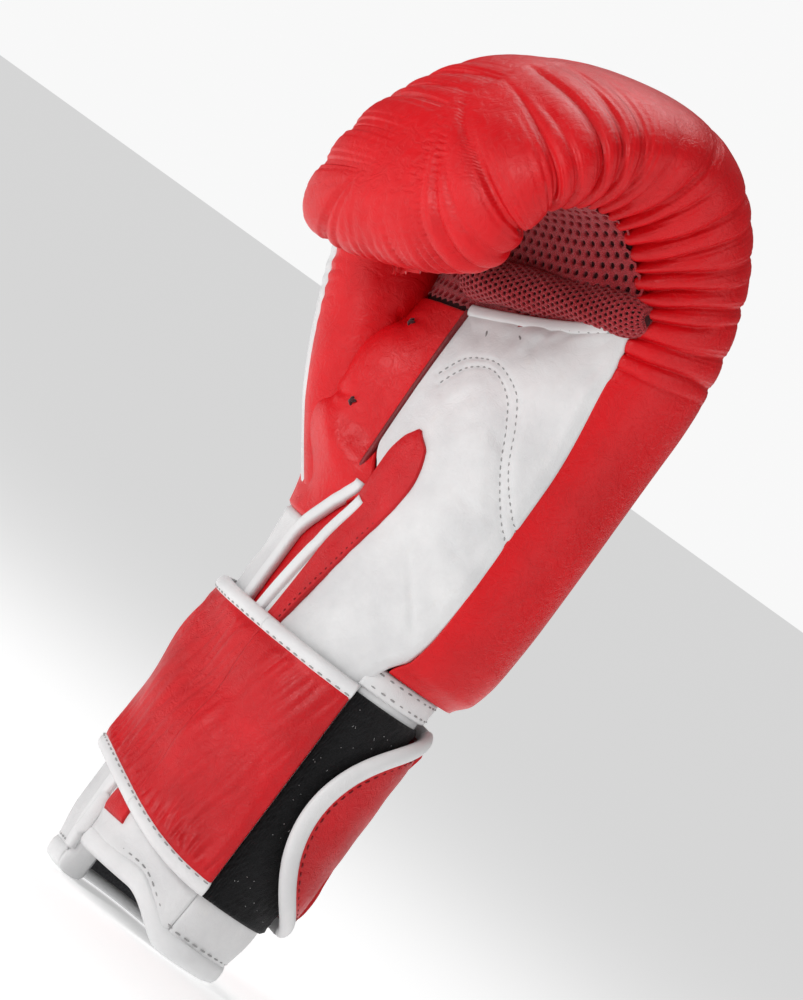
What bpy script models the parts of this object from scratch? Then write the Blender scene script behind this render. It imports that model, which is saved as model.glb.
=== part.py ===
"""Left-hand boxing glove with a hook-and-loop wrist strap.

The glove stands on its cuff mouth. +Z runs from the cuff mouth to the knuckles, the palm faces -Y,
the thumb is on the -X side and the little finger on the +X side.

Every layer of the hand is cut from one body-fitted coordinate system:
  station  height above the mouth in mm, and past PIVOT_Z one unit for each degree of the finger curl
  angle    degrees round the section: 0 little finger, 90 back, 180 thumb side, 270 palm
  depth    metres inwards from the outer surface
"""
import math

import bmesh
import bpy
from mathutils import Vector

MM = 0.001
GAP = 0.00035          # clearance between neighbouring pieces
SOFT_GAP = 0.0007      # clearance round the foam
LEATHER = 0.0016
LINING = 0.0011
SECTION_POWER = 2.3    # roundness of the sections, 2 is an ellipse

# Finger curl: sections swing about this line, which runs along X in the mouth of the curl
PIVOT_Y = -0.050
PIVOT_Z = 212.0
CURL_END = 212.0       # degrees
CAVITY_TURN = ((0, 0), (110, 110), (160, 142), (212, 165))   # the hand's curl against the leather's
DOME_START = 178.0     # degrees, where the fingertip starts to close
LAST = PIVOT_Z + CURL_END
FRAME_SHIFT = (0.0065, 0.0294, 0.0)   # brings the middle of the whole glove over the origin
SLANT = 0.20           # rise of the palm side towards the little finger
KNUCKLE_SLANT = 0.18   # rise of the knuckles towards the little finger
TIP_SLANT = 0.28       # rise of the fingertips towards the little finger

# Section sizes in mm at stations. Palm and back are distances from the pivot line.
PALM = ((0, 26), (20, 23.5), (100, 23), (130, 22), (160, 20), (212, 18), (242, 22), (272, 30),
        (302, 35), (332, 28), (362, 17), (392, 11), (424, 10))
CUFF_BACK = ((0, 74), (20, 76.5), (112, 77), (424, 77))
MITT_BACK = ((0, 81), (110, 81), (116, 83.5), (126, 84.5), (212, 84), (257, 87), (282, 89.5), (312, 78),
             (342, 58), (372, 46), (392, 42), (424, 37))
PINKY_SIDE = ((0, 38), (20, 41), (100, 42), (110, 47), (118, 53.5), (130, 57), (150, 58.5), (272, 58.5),
              (302, 57), (342, 54), (372, 50), (392, 46), (424, 44))
MITT_PINKY = ((0, 49), (110, 49), (117, 54.5), (130, 57.5), (150, 58.5), (272, 58.5), (302, 57), (342, 54),
              (372, 50), (392, 46), (424, 44))
THUMB_SIDE = ((0, 38), (20, 41), (100, 42), (125, 45), (140, 50), (155, 55), (180, 57.5), (212, 57),
              (242, 53), (272, 48), (302, 43), (342, 41), (372, 41), (392, 42), (424, 42))
HAND_PALM = ((0, 32.5), (20, 30), (100, 29.5), (130, 29), (160, 27.5), (212, 26), (257, 33), (302, 41),
             (332, 36), (362, 26), (392, 20), (424, 17.5))
HAND_BACK = ((0, 67.5), (20, 70), (110, 70), (130, 66), (160, 61), (212, 59), (257, 61), (302, 63),
             (332, 53), (362, 42), (392, 36), (424, 31))
HAND_SIDE = ((0, 31.5), (20, 34.5), (110, 36), (130, 40), (150, 43), (212, 44), (242, 41), (272, 37),
             (302, 33), (342, 31), (392, 31), (424, 28))

# Seams: angle of the edge between the palm side and the shell, on the little-finger side
PALM_EDGE = ((0, -28), (100, -25), (180, -24), (212, -30), (242, -36), (272, -45), (302, -55),
             (332, -62), (362, -70), (377, -80), (384, -84), (424, -84))
MITT_START = 110.5     # station of the shell's lower edge
NOTCH_END = 384.0      # station where the shell closes over the fingertips
PALM_TOP = (217.0, 243.0)   # palm panel's top edge at the thumb seam and at the little-finger seam
THUMB_SEAM = 267.0     # angle of the seam between the thumb web and the palm panel

# Wrist slit, as x in mm at stations
SLIT_PALM_X = ((0, -3), (40, -4), (102, -5), (130, 0), (152, 7), (424, 7))
SLIT_THUMB_X = ((0, -13), (102, -14), (125, -13), (140, -4), (150, 4), (424, 4))
SLIT_TOP = 150.0
FLAP_LIFT = 0.016      # the palm flap's rounded corner at the slit

# Cuff and strap
CUFF_TOP = 106.0
STRAP_TOP = 0.102
STRAP_EDGE = 0.0055    # height of a strap binding
STRAP_THICK = 0.0024
BINDING_RISE = 0.0006  # a binding stands this much proud of the strap
BINDING_WALL = 0.0010
STRAP_STANDOFF = 0.0022
TAB_STANDOFF = 0.0040
STRAP_LEVEL = 80.0     # station whose section the strap follows
ROOT_SEAM = -26.0      # angles of the strap's seams and tip, running backwards round the cuff
PALM_FOLD = -132.0
THUMB_FOLD = -210.0
TAB_FOLD = -285.0
TAB_TIP = -371.0
TAB_LOW = 0.024        # lower edge of the round end
HOOK_INSET = 0.011     # from the round end's outline to the hook pad
PILE = 0.0014          # thickness of the loop panel

COLS_NOTCH = 8
COLS_SHELL = 18
COLS_CUFF = 32

RED = (0.60, 0.012, 0.020, 1.0)
DARK_RED = (0.30, 0.010, 0.016, 1.0)
WHITE = (0.82, 0.81, 0.80, 1.0)
BLACK = (0.012, 0.012, 0.013, 1.0)
FOAM = (0.60, 0.55, 0.42, 1.0)
CLOTH = (0.10, 0.10, 0.11, 1.0)


# ---------------------------------------------------------------- small helpers

def clear_scene():
    for obj in list(bpy.data.objects):
        bpy.data.objects.remove(obj, do_unlink=True)


def material(name, colour, roughness):
    mat = bpy.data.materials.new(name)
    mat.use_nodes = True
    shader = mat.node_tree.nodes["Principled BSDF"]
    shader.inputs["Base Color"].default_value = colour
    shader.inputs["Roughness"].default_value = roughness
    shader.inputs["Metallic"].default_value = 0.0
    return mat


def mix(a, b, t):
    return a + (b - a) * t


def ease(t):
    t = min(1.0, max(0.0, t))
    return t * t * (3.0 - 2.0 * t)


def key(table, at):
    """Smooth curve through (position, value) pairs, without overshoot."""
    if at <= table[0][0]:
        return float(table[0][1])
    if at >= table[-1][0]:
        return float(table[-1][1])
    last = len(table) - 1
    k = next(i for i in range(last) if table[i][0] <= at <= table[i + 1][0])
    slopes = [(table[i + 1][1] - table[i][1]) / (table[i + 1][0] - table[i][0]) for i in range(last)]

    def tangent(i):
        if i == 0 or i == last or slopes[i - 1] * slopes[i] <= 0:
            return 0.0
        return 2.0 * slopes[i - 1] * slopes[i] / (slopes[i - 1] + slopes[i])

    (p0, v0), (p1, v1) = table[k], table[k + 1]
    span = p1 - p0
    t = (at - p0) / span
    return ((2 * t ** 3 - 3 * t ** 2 + 1) * v0 + (t ** 3 - 2 * t ** 2 + t) * span * tangent(k)
            + (3 * t ** 2 - 2 * t ** 3) * v1 + (t ** 3 - t ** 2) * span * tangent(k + 1))


def new_object(name, mesh, mat):
    obj = bpy.data.objects.new(name, mesh)
    bpy.context.scene.collection.objects.link(obj)
    mesh.materials.append(mat)
    return obj


def layer(name, rows, cols, place, mat, ring=False, pole=False, skip=None, origin=None):
    """Closed solid between two sheets of rows by cols cells; place(i, j, side) gives the corners.

    side 0 is the outer sheet and 1 the inner one. ring joins the last column to the first, pole
    closes the last row to a point, and skip(i, j) leaves a cell out.
    """
    bm = bmesh.new()
    corners = {}

    def vert(i, j, side):
        if ring:
            j %= cols
        if pole and i == rows:
            j = 0
        at = (i, j, side)
        if at not in corners:
            corners[at] = bm.verts.new(place(i, j, side))
        return corners[at]

    def face(*verts):
        unique = []
        for v in verts:
            if v not in unique:
                unique.append(v)
        if len(unique) > 2:
            bm.faces.new(unique)

    def present(i, j):
        if i < 0 or i >= rows:
            return False
        if ring:
            j %= cols
        elif j < 0 or j >= cols:
            return False
        return not (skip and skip(i, j))

    for i in range(rows):
        for j in range(cols):
            if not present(i, j):
                continue
            a, b, c, d = (i, j), (i, j + 1), (i + 1, j + 1), (i + 1, j)
            face(vert(*a, 0), vert(*b, 0), vert(*c, 0), vert(*d, 0))
            face(vert(*d, 1), vert(*c, 1), vert(*b, 1), vert(*a, 1))
            edges = (((i - 1, j), b, a), ((i, j + 1), c, b), ((i + 1, j), d, c), ((i, j - 1), a, d))
            for beyond, p, q in edges:
                closed_end = pole and beyond[0] == rows
                if not present(*beyond) and not closed_end:
                    face(vert(*p, 0), vert(*q, 0), vert(*q, 1), vert(*p, 1))
    bmesh.ops.recalc_face_normals(bm, faces=bm.faces)
    if bm.calc_volume(signed=True) < 0:
        bmesh.ops.reverse_faces(bm, faces=bm.faces)
    bmesh.ops.triangulate(bm, faces=bm.faces)
    pivot = origin or Vector((0, 0, 0))
    bmesh.ops.translate(bm, verts=bm.verts, vec=-pivot)
    mesh = bpy.data.meshes.new(name)
    bm.to_mesh(mesh)
    bm.free()
    mesh.shade_smooth()
    mesh.set_sharp_from_angle(angle=math.radians(40))
    obj = new_object(name, mesh, mat)
    obj.location = pivot
    return obj


def lofted(name, loops, mat, tip=None, sharp=None):
    """Closed solid through loops of points, ending in a flat cap or, if tip is given, in a point."""
    bm = bmesh.new()
    rings = [[bm.verts.new(point) for point in loop] for loop in loops]
    count = len(rings[0])
    for low, high in zip(rings, rings[1:]):
        for j in range(count):
            k = (j + 1) % count
            bm.faces.new((low[j], low[k], high[k], high[j]))
    bm.faces.new(rings[0][::-1])
    if tip is None:
        bm.faces.new(rings[-1])
    else:
        end = bm.verts.new(tip)
        for j in range(count):
            bm.faces.new((rings[-1][j], rings[-1][(j + 1) % count], end))
    bmesh.ops.recalc_face_normals(bm, faces=bm.faces)
    bmesh.ops.triangulate(bm, faces=bm.faces)
    mesh = bpy.data.meshes.new(name)
    bm.to_mesh(mesh)
    bm.free()
    mesh.shade_smooth()
    if sharp:
        mesh.set_sharp_from_angle(angle=math.radians(sharp))
    return new_object(name, mesh, mat)


def cut(obj, cutter):
    cutter.hide_render = True
    cutter.display_type = "WIRE"
    boolean = obj.modifiers.new("cut", "BOOLEAN")
    boolean.operation = "DIFFERENCE"
    boolean.object = cutter
    boolean.solver = "EXACT"


# ---------------------------------------------------------------- the glove's coordinates

def power(value):
    return math.copysign(abs(value) ** (2.0 / SECTION_POWER), value)


def dome(station):
    """Shrink of the section's width and thickness towards the fingertip."""
    t = (station - PIVOT_Z - DOME_START) / (CURL_END - DOME_START)
    if t <= 0:
        return 1.0, 1.0
    t = min(t, 1.0)
    return (1 - t ** 3) ** (1 / 3), math.sqrt(1 - t * t)


def on_section(station, angle, palm, back, pinky, thumb, inside=False):
    """World point on a section whose sizes are in mm."""
    c, s = power(math.cos(math.radians(angle))), power(math.sin(math.radians(angle)))
    wide, thick = dome(station)
    middle = (palm + back) / 2
    half = (back - palm) / 2
    x = (pinky if c > 0 else thumb) * c * wide * MM
    reach = (middle + half * s * thick) * MM
    inner = (1 - s) / 2
    tip = ease((station - PIVOT_Z - 100) / 65)
    fan = SLANT * ease((station - 160) / 52) * inner + KNUCKLE_SLANT * ease((station - 200) / 60) * (1 - inner)
    rise = mix(fan * x, TIP_SLANT * (x + 0.040), tip)
    if station <= PIVOT_Z:
        return Vector((x, PIVOT_Y + reach, station * MM + rise))
    curl = station - PIVOT_Z
    turn = math.radians(key(CAVITY_TURN, curl) if inside else curl)
    return Vector((x, PIVOT_Y + reach * math.cos(turn), PIVOT_Z * MM + reach * math.sin(turn) + rise))


def lift(station, angle):
    """The palm flap's mouth edge rises towards the slit."""
    around = (angle + 360) % 360
    if around < 255 or around > 338:
        return 0.0
    return FLAP_LIFT * ease((338 - around) / 45) * ease((60 - station) / 50)


def outer(station, angle, part="palm"):
    """Point on the outer surface. The cuff keeps its width where the palm side already flares."""
    side = min(station, 100) if part == "cuff" else station
    back = CUFF_BACK if part == "cuff" or station < 112 and part != "mitt" else MITT_BACK
    point = on_section(station, angle, key(PALM, station), key(back, station),
                       key(MITT_PINKY if part == "mitt" else PINKY_SIDE, side), key(THUMB_SIDE, side))
    point.z += lift(station, angle)
    return point


def cavity(station, angle):
    side = key(HAND_SIDE, station)
    point = on_section(station, angle, key(HAND_PALM, station), key(HAND_BACK, station), side, side,
                       inside=True)
    point.z += lift(station, angle)
    return point


def at_depth(station, angle, depth, part="palm"):
    """Point depth metres in from the outer surface, or out from it if depth is negative."""
    out = outer(station, angle, part)
    way = cavity(station, angle) - out
    return out + way * (depth / way.length)


def above_cavity(station, angle, height, part="palm"):
    """Point height metres out from the hand cavity."""
    inside = cavity(station, angle)
    way = outer(station, angle, part) - inside
    return inside + way * (height / way.length)


def angle_at_x(station, x_mm):
    """Angle of the palm-side point with this x."""
    side = key(PINKY_SIDE if x_mm > 0 else THUMB_SIDE, station)
    share = (abs(x_mm) / side) ** (SECTION_POWER / 2)
    return 270.0 + math.copysign(math.degrees(math.asin(share)), x_mm)


def pinky_edge(station):
    return key(PALM_EDGE, station)


def thumb_edge(station):
    return 180.0 - key(PALM_EDGE, station)


def steps(start, end, count):
    return [mix(start, end, i / count) for i in range(count + 1)]


# ---------------------------------------------------------------- mitt

PAD_SPLIT = 350.0      # station where the fingertip pad takes over from the knuckle pad
PALM_ROWS = [3.4, 10, 20, 35, 60, 85, 102, 110, 118, 130, 142, 150, 165, 180, 196]
SHELL_ROWS = ([MITT_START, MITT_START + 1.6, MITT_START + 1.9] + [r for r in PALM_ROWS if r > 113]
              + steps(PIVOT_Z, PAD_SPLIT, 8) + [PAD_SPLIT + 1.5, 372, NOTCH_END, 397, 408, 417, LAST])


def shell_angle(station, j):
    """Column angles: the notch's columns come first, then the shell's."""
    start, end = thumb_edge(station), pinky_edge(station) + 360
    if j <= COLS_NOTCH:
        return mix(start, end, j / COLS_NOTCH)
    return mix(end, start + 360, (j - COLS_NOTCH) / COLS_SHELL)


def make_mitt_shell(mat):
    def place(i, j, side):
        station = SHELL_ROWS[i]
        angle = shell_angle(station, j)
        if i < 2:
            wall = (cavity(station, angle) - outer(station, angle, "mitt")).length
            return at_depth(station, angle, side * 0.6 * wall, part="mitt")
        return at_depth(station, angle, side * LEATHER, part="mitt")

    return layer("mitt_shell", len(SHELL_ROWS) - 1, COLS_NOTCH + COLS_SHELL, place, mat, ring=True,
                 pole=True, skip=lambda i, j: j < COLS_NOTCH and SHELL_ROWS[i] < NOTCH_END)


def make_knuckle_pad(mat):
    rows = [MITT_START + 2.4] + [r for r in SHELL_ROWS if MITT_START + 3 < r <= PAD_SPLIT]

    def place(i, j, side):
        station = rows[i]
        inset = 0.8 + 1.6 * ease((station - PIVOT_Z) / 60)
        angle = mix(pinky_edge(station) + inset, thumb_edge(station) - inset, j / COLS_SHELL)
        if side == 0:
            return at_depth(station, angle, LEATHER + SOFT_GAP, part="mitt")
        return above_cavity(station, angle, LINING + SOFT_GAP, part="mitt")

    return layer("knuckle_pad", len(rows) - 1, COLS_SHELL, place, mat)


def make_palm_foam(mat):
    rows = [CUFF_TOP + 2, 110] + [r for r in SHELL_ROWS if MITT_START + 3 < r <= PAD_SPLIT]

    def place(i, j, side):
        station = rows[i]
        angle = mix(thumb_edge(station) + 0.8, pinky_edge(station) + 359.2, j / COLS_NOTCH)
        if side == 0:
            slack = mix(0.0008, 0.0018, ease((station - 196) / 30))
            return at_depth(station, angle, LEATHER + SOFT_GAP + slack)
        return above_cavity(station, angle, LINING + SOFT_GAP)

    return layer("palm_foam", len(rows) - 1, COLS_NOTCH, place, mat)


def make_fingertip_pad(mat):
    rows = [r for r in SHELL_ROWS if r > PAD_SPLIT]

    def place(i, j, side):
        angle = shell_angle(rows[i], j)
        if side == 0:
            return at_depth(rows[i], angle, LEATHER + GAP, part="mitt")
        return above_cavity(rows[i], angle, LINING + SOFT_GAP, part="mitt")

    return layer("fingertip_pad", len(rows) - 1, COLS_NOTCH + COLS_SHELL, place, mat, ring=True,
                 pole=True)


def make_hand_lining(mat):
    rows = [CUFF_TOP + 2] + [r for r in SHELL_ROWS if r > MITT_START + 3]

    def place(i, j, side):
        return above_cavity(rows[i], shell_angle(rows[i], j), (1 - side) * LINING, part="mitt")

    return layer("hand_lining", len(rows) - 1, COLS_NOTCH + COLS_SHELL, place, mat, ring=True,
                 pole=True)


def palm_top(angle):
    """Station of the palm panel's slanting top edge."""
    share = (angle - THUMB_SEAM) / (360 + pinky_edge(PALM_TOP[1]) - THUMB_SEAM)
    return mix(PALM_TOP[0], PALM_TOP[1], min(1.0, max(0.0, share)))


def make_palm_panel(mat):
    heights = PALM_ROWS + [None]
    cols = 7

    def place(i, j, side):
        share = j / cols
        reach = heights[i] or palm_top(mix(THUMB_SEAM, 330, share))
        left = angle_at_x(reach, key(SLIT_PALM_X, reach))
        if reach > SLIT_TOP:
            left = mix(left, THUMB_SEAM + 0.6, ease((reach - SLIT_TOP) / 15))
        angle = mix(left, 359.0 + pinky_edge(reach), share)
        return at_depth(reach, angle, side * LEATHER)

    return layer("palm_panel", len(heights) - 1, cols, place, mat)


def make_thumb_web(mat):
    rows = [132, 142, 150, 165, 180, 196, PIVOT_Z]
    cols = 5

    def place(i, j, side):
        station = rows[i]
        right = THUMB_SEAM
        if station < 165:
            slit = angle_at_x(station, key(SLIT_THUMB_X, station))
            right = mix(slit, THUMB_SEAM, ease((station - SLIT_TOP) / 15))
        angle = mix(thumb_edge(station) + 0.8, right, j / cols)
        return at_depth(station, angle, side * LEATHER)

    return layer("thumb_web_panel", len(rows) - 1, cols, place, mat)


def make_finger_mesh(mat):
    rows = [0, 0] + [r for r in SHELL_ROWS if PALM_TOP[1] + 2 < r < NOTCH_END] + [NOTCH_END - 1.8]
    cols = COLS_NOTCH

    def place(i, j, side):
        share = j / cols
        low = palm_top(mix(THUMB_SEAM - 63, 330, share)) + 1.4
        station = rows[i] or mix(low, rows[2], i / 2)
        inset = 2.4 + 2.0 * ease((station - 290) / 45)
        angle = mix(thumb_edge(station) + inset, pinky_edge(station) + 360 - inset, share)
        return at_depth(station, angle, side * LEATHER)

    return layer("finger_mesh", len(rows) - 1, cols, place, mat)


def roll(name, start, end, radius, mat, sides=12):
    """Slanted bar with round ends."""
    axis = (end - start).normalized()
    side = axis.cross(Vector((0, 0, 1))).normalized()
    up = side.cross(axis)
    length = (end - start).length
    loops = []
    for t in (0.0, 0.04, 0.12, 0.25, 0.5, 0.75, 0.88, 0.96, 1.0):
        near_end = min(t, 1 - t) / 0.25
        swell = radius * mix(0.4, 1.0, math.sqrt(1 - (1 - min(near_end, 1.0)) ** 2))
        loop = []
        for n in range(sides):
            turn = 2 * math.pi * n / sides
            loop.append(start + axis * length * t + (side * math.cos(turn) + up * math.sin(turn)) * swell)
        loops.append(loop)
    return lofted(name, loops, mat)


GRIP_RADIUS = 0.0072
GRIP_ENDS = (Vector((-0.014, -0.0405, 0.2130)), Vector((0.044, -0.0405, 0.2290)))


def strip(name, stations, angle_of, width, low, high, mat):
    """Narrow raised strip that follows a line on the palm side; width in metres."""
    def place(i, j, side):
        station = stations[i]
        centre = angle_of(station)
        a = outer(station, centre - 0.5)
        b = outer(station, centre + 0.5)
        turn = width / (b - a).length
        angle = centre + (j - 1) * turn / 2
        return at_depth(station, angle, -(low if side else high))

    return layer(name, len(stations) - 1, 2, place, mat)


def thumb_seam_line(station):
    return THUMB_SEAM + 0.4


def make_palm_top_piping(mat):
    """Raised piping along the palm panel's top edge."""
    cols = 8

    def place(i, j, side):
        angle = mix(THUMB_SEAM + 2, 322, i / cols)
        station = palm_top(angle) - 1.4 - 2.4 * j
        return at_depth(station, angle, -GAP - 0.0002 - (1 - side) * 0.0014)

    return layer("palm_top_piping", cols, 1, place, mat)


# ---------------------------------------------------------------- thumb

THUMB_SPINE = ((-22, -8, 140), (-36, -17, 165), (-44, -24, 184), (-49, -29, 200), (-54, -34, 218),
               (-58, -38, 240))
THUMB_HALF = ((0, 17), (0.25, 20), (0.6, 20), (0.85, 17), (1, 15))
THUMB_FLAT = ((0, 15), (0.25, 18), (0.6, 18), (0.85, 16), (1, 14))
THUMB_WAY = Vector((0.895, -0.447, 0.0))
THUMB_COLS = 16
THUMB_ROWS = [0, 0.15, 0.3, 0.45, 0.6, 0.72, 0.82, 0.9, 0.95, 0.985, 1.0]
THUMB_FOAM = 0.0075


def thumb_centre(q):
    last = len(THUMB_SPINE) - 1
    at = q * last
    return Vector([key([(k, p[axis]) for k, p in enumerate(THUMB_SPINE)], at) for axis in range(3)]) * MM


def swollen_shell(station, angle):
    return at_depth(station, angle, -2.5 * GAP, part="mitt")


def hand_surface(station, angle):
    return above_cavity(station, angle, 0.0, part="mitt")


def thumb_point(q, theta, depth):
    """Point on the thumb, depth metres in from its leather surface."""
    reach = q * (1 - depth / 0.115)
    centre = thumb_centre(reach)
    along = (thumb_centre(min(1.0, reach + 0.02)) - thumb_centre(max(0.0, reach - 0.02))).normalized()
    across = THUMB_WAY.cross(along).normalized()
    round_off = math.sqrt(max(0.0, 1 - max(0.0, (q - 0.80) / 0.20) ** 2))
    half = (key(THUMB_HALF, q) * MM - depth) * round_off
    flat = (key(THUMB_FLAT, q) * MM - depth) * round_off
    a = math.radians(theta)
    return centre + THUMB_WAY * half * math.cos(a) + across * flat * math.sin(a)


def thumb_layer(name, start, end, depth, thick, mat):
    """Part of the thumb's wall between two angles, or all round if they are 360 degrees apart."""
    full = end - start >= 360
    rows = THUMB_ROWS if full else THUMB_ROWS[:-1]
    cols = max(3, round(THUMB_COLS * (end - start) / 360))

    def place(i, j, side):
        return thumb_point(rows[i], mix(start, end, j / cols), depth + side * thick)

    return layer(name, len(rows) - 1, cols, place, mat, ring=full, pole=full)


def thumb_volume(name, depth, mat):
    """Closed plug of the thumb's shape, used to cut its neighbours."""
    turns = [360 * j / THUMB_COLS for j in range(THUMB_COLS)]
    loops = [[thumb_point(q, turn, depth) for turn in turns] for q in THUMB_ROWS[:-1]]
    return lofted(name, loops, mat, tip=thumb_point(1.0, 0, depth))


def ring_volume(name, rows, point, mat):
    """Closed solid of full sections, flat at its first row and a point at its last."""
    cols = COLS_NOTCH + COLS_SHELL
    loops = [[point(r, shell_angle(r, j)) for j in range(cols)] for r in rows[:-1]]
    return lofted(name, loops, mat, tip=point(rows[-1], 0))


# ---------------------------------------------------------------- cuff

CUFF_ROWS = [r for r in PALM_ROWS if r < CUFF_TOP] + [CUFF_TOP]
COLLAR_ROWS = [102.8, 106.4, 110.0]
SLIT_BINDING = 0.0036


def slit_palm(station):
    return angle_at_x(station, key(SLIT_PALM_X, station))


def slit_thumb(station):
    return angle_at_x(station, key(SLIT_THUMB_X, station))


def slit_thumb_round(station):
    return slit_thumb(station) + 360


def back_start(station):
    return pinky_edge(station) + 0.8


def back_end(station):
    return thumb_edge(station) - 0.4


def thumb_start(station):
    return thumb_edge(station) + 0.8


def gusset_start(station):
    return slit_thumb(station) + 0.8


def gusset_end(station):
    return slit_palm(station) - 0.8


def palm_binding_line(station):
    return slit_palm(station) + 0.5


def thumb_binding_line(station):
    return slit_thumb(station) - 3.0


def collar_start(station):
    return -22.0


def collar_end(station):
    return 202.0


def loop_start(station):
    return ROOT_SEAM + 2


def loop_end(station):
    return 128.0


def cuff_layer(name, rows, start, end, cols, place_depth, mat):
    """Part of the cuff wall between two angles, each a function of station."""
    def place(i, j, side):
        station = rows[i]
        angle = mix(start(station), end(station), j / cols)
        return place_depth(station, angle, side)

    return layer(name, len(rows) - 1, cols, place, mat)


def back_skin(station, angle, side):
    return at_depth(station, angle, side * LEATHER, part="cuff")


def outer_skin(station, angle, side):
    return at_depth(station, angle, side * LEATHER)


def middle_foam(station, angle, side):
    if side == 0:
        return at_depth(station, angle, LEATHER + GAP, part="cuff")
    return above_cavity(station, angle, LINING + SOFT_GAP, part="cuff")


def inner_cloth(station, angle, side):
    return above_cavity(station, angle, (1 - side) * LINING, part="cuff")


def collar_point(station, angle, side):
    return at_depth(station, angle, -GAP - (1 - side) * 0.0018, part="cuff")


def gusset_skin(station, angle, side):
    return at_depth(station, angle, 0.0002 + side * 0.0010)


def make_mouth_binding(mat):
    """Channel that wraps the cuff's lower edge, from slit edge to slit edge."""
    outside = -BINDING_WALL - GAP
    fold, rim = 3.0, 7.0
    profile = ((outside, 0.0), (outside, rim), (-GAP, rim), (-GAP, fold))

    def section(angle):
        loop = [at_depth(height, angle, depth) for depth, height in profile]
        inner = cavity(0, angle)
        inner += (inner - outer(0, angle)).normalized() * BINDING_WALL
        loop += [inner.copy(), inner.copy()]
        for point, height in zip(loop, [h for _, h in profile] + [fold, 0.0]):
            point.z = height * MM + lift(0, angle)
        return loop

    angles = steps(slit_palm(0), slit_thumb(0) + 360, COLS_CUFF)
    return lofted("mouth_binding", [section(angle) for angle in angles], mat, sharp=40)


LEAF_RIGHT_X = ((14, 9), (40, 6), (102, 7), (130, 14), (161, 22), (170, 19), (175, 12), (424, 12))
LEAF_LEFT_X = ((14, 3), (40, 2), (102, 1), (130, 6), (142, 9), (149, 12), (153, 11), (163, 5), (170, 7),
               (175, 11), (424, 11))


def make_leaf_patch(mat):
    rows = [14] + [r for r in PALM_ROWS if 15 < r < 155] + [157, 165, 170, 174]
    cols = 3

    def place(i, j, side):
        station = rows[i]
        left = angle_at_x(station, key(LEAF_LEFT_X, station))
        right = angle_at_x(station, key(LEAF_RIGHT_X, station))
        return at_depth(station, mix(left, right, j / cols), -GAP - (1 - side) * 0.0010)

    return layer("leaf_patch", len(rows) - 1, cols, place, mat)


# ---------------------------------------------------------------- strap

def strap_base(angle):
    return at_depth(STRAP_LEVEL, angle, -STRAP_STANDOFF)


STRAP_ANGLES = [ROOT_SEAM - k for k in range(round(ROOT_SEAM - TAB_TIP) + 1)]
STRAP_ARC = [0.0]
for one, two in zip(STRAP_ANGLES, STRAP_ANGLES[1:]):
    STRAP_ARC.append(STRAP_ARC[-1] + (strap_base(two) - strap_base(one)).length)
STRAP_LENGTH = STRAP_ARC[-1]


def arc_at(angle):
    """Length along the strap, in metres from its root seam, at an angle round the cuff."""
    share = min(max(ROOT_SEAM - angle, 0.0), len(STRAP_ARC) - 1.001)
    k = int(share)
    return mix(STRAP_ARC[k], STRAP_ARC[k + 1], share - k)


def angle_at(arc):
    k = max(i for i, length in enumerate(STRAP_ARC[:-1]) if length <= max(arc, 0.0))
    return STRAP_ANGLES[k] - (arc - STRAP_ARC[k]) / (STRAP_ARC[k + 1] - STRAP_ARC[k])


def strap_point(arc, standoff, z):
    """Point round the cuff, standoff metres outside the cuff leather, with no taper over height."""
    base = at_depth(STRAP_LEVEL, angle_at(arc), -standoff)
    return Vector((base.x, base.y, z))


ROOT, PALM_HINGE, THUMB_HINGE, TAB_HINGE = (arc_at(a) for a in (ROOT_SEAM, PALM_FOLD, THUMB_FOLD,
                                                               TAB_FOLD))
TAB_MIDDLE = (STRAP_TOP + TAB_LOW) / 2
TAB_HALF = (STRAP_TOP - TAB_LOW) / 2
TAB_CENTRE = STRAP_LENGTH - TAB_HALF     # centre of the round end, along the strap
TRIM = 0.0003


def standoff_at(arc):
    """The strap climbs from the bare cuff onto the loop panel."""
    return mix(STRAP_STANDOFF, TAB_STANDOFF, ease((arc - PALM_HINGE) / (THUMB_HINGE - PALM_HINGE)))


def strap_low(arc):
    """Height of the strap's lower edge: deepest at the root, narrowest on the thumb side."""
    share = ease(arc / PALM_HINGE)
    back = ease((arc - THUMB_HINGE) / (TAB_HINGE - THUMB_HINGE))
    return mix(mix(0.022, 0.036, share), TAB_LOW, back)


def strap_band(name, start, end, low, high, thick, mat, cols, hinge):
    """Curved band between two lengths along the strap; low and high are functions of the length."""
    def place(i, j, side):
        arc = mix(start, end, j / cols)
        z = high(arc) if i else low(arc)
        return strap_point(arc, standoff_at(arc) + (1 - side) * thick, z)

    return layer(name, 1, cols, place, mat, origin=hinge)


def hinge_point(arc):
    point = strap_point(arc, standoff_at(arc) + STRAP_THICK + BINDING_RISE, 0)
    return Vector((point.x, point.y, STRAP_TOP / 2))


def make_strap(red, white):
    """Three panels with a binding along each long edge."""
    sections = (("root", ROOT, PALM_HINGE, 9), ("wrap", PALM_HINGE, THUMB_HINGE, 8),
                ("back", THUMB_HINGE, TAB_HINGE, 6))
    for label, start, end, cols in sections:
        a, b = start + TRIM, end - TRIM
        hinge = hinge_point(start)
        strap_band(f"strap_{label}_panel", a, b, lambda u: strap_low(u) + STRAP_EDGE + GAP,
                   lambda u: STRAP_TOP - STRAP_EDGE - GAP, STRAP_THICK, red, cols, hinge)
        strap_band(f"strap_{label}_upper_binding", a, b, lambda u: STRAP_TOP - STRAP_EDGE,
                   lambda u: STRAP_TOP, STRAP_THICK + BINDING_RISE, white, cols, hinge)
        strap_band(f"strap_{label}_lower_binding", a, b, strap_low,
                   lambda u: strap_low(u) + STRAP_EDGE, STRAP_THICK + BINDING_RISE, white, cols, hinge)


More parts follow.
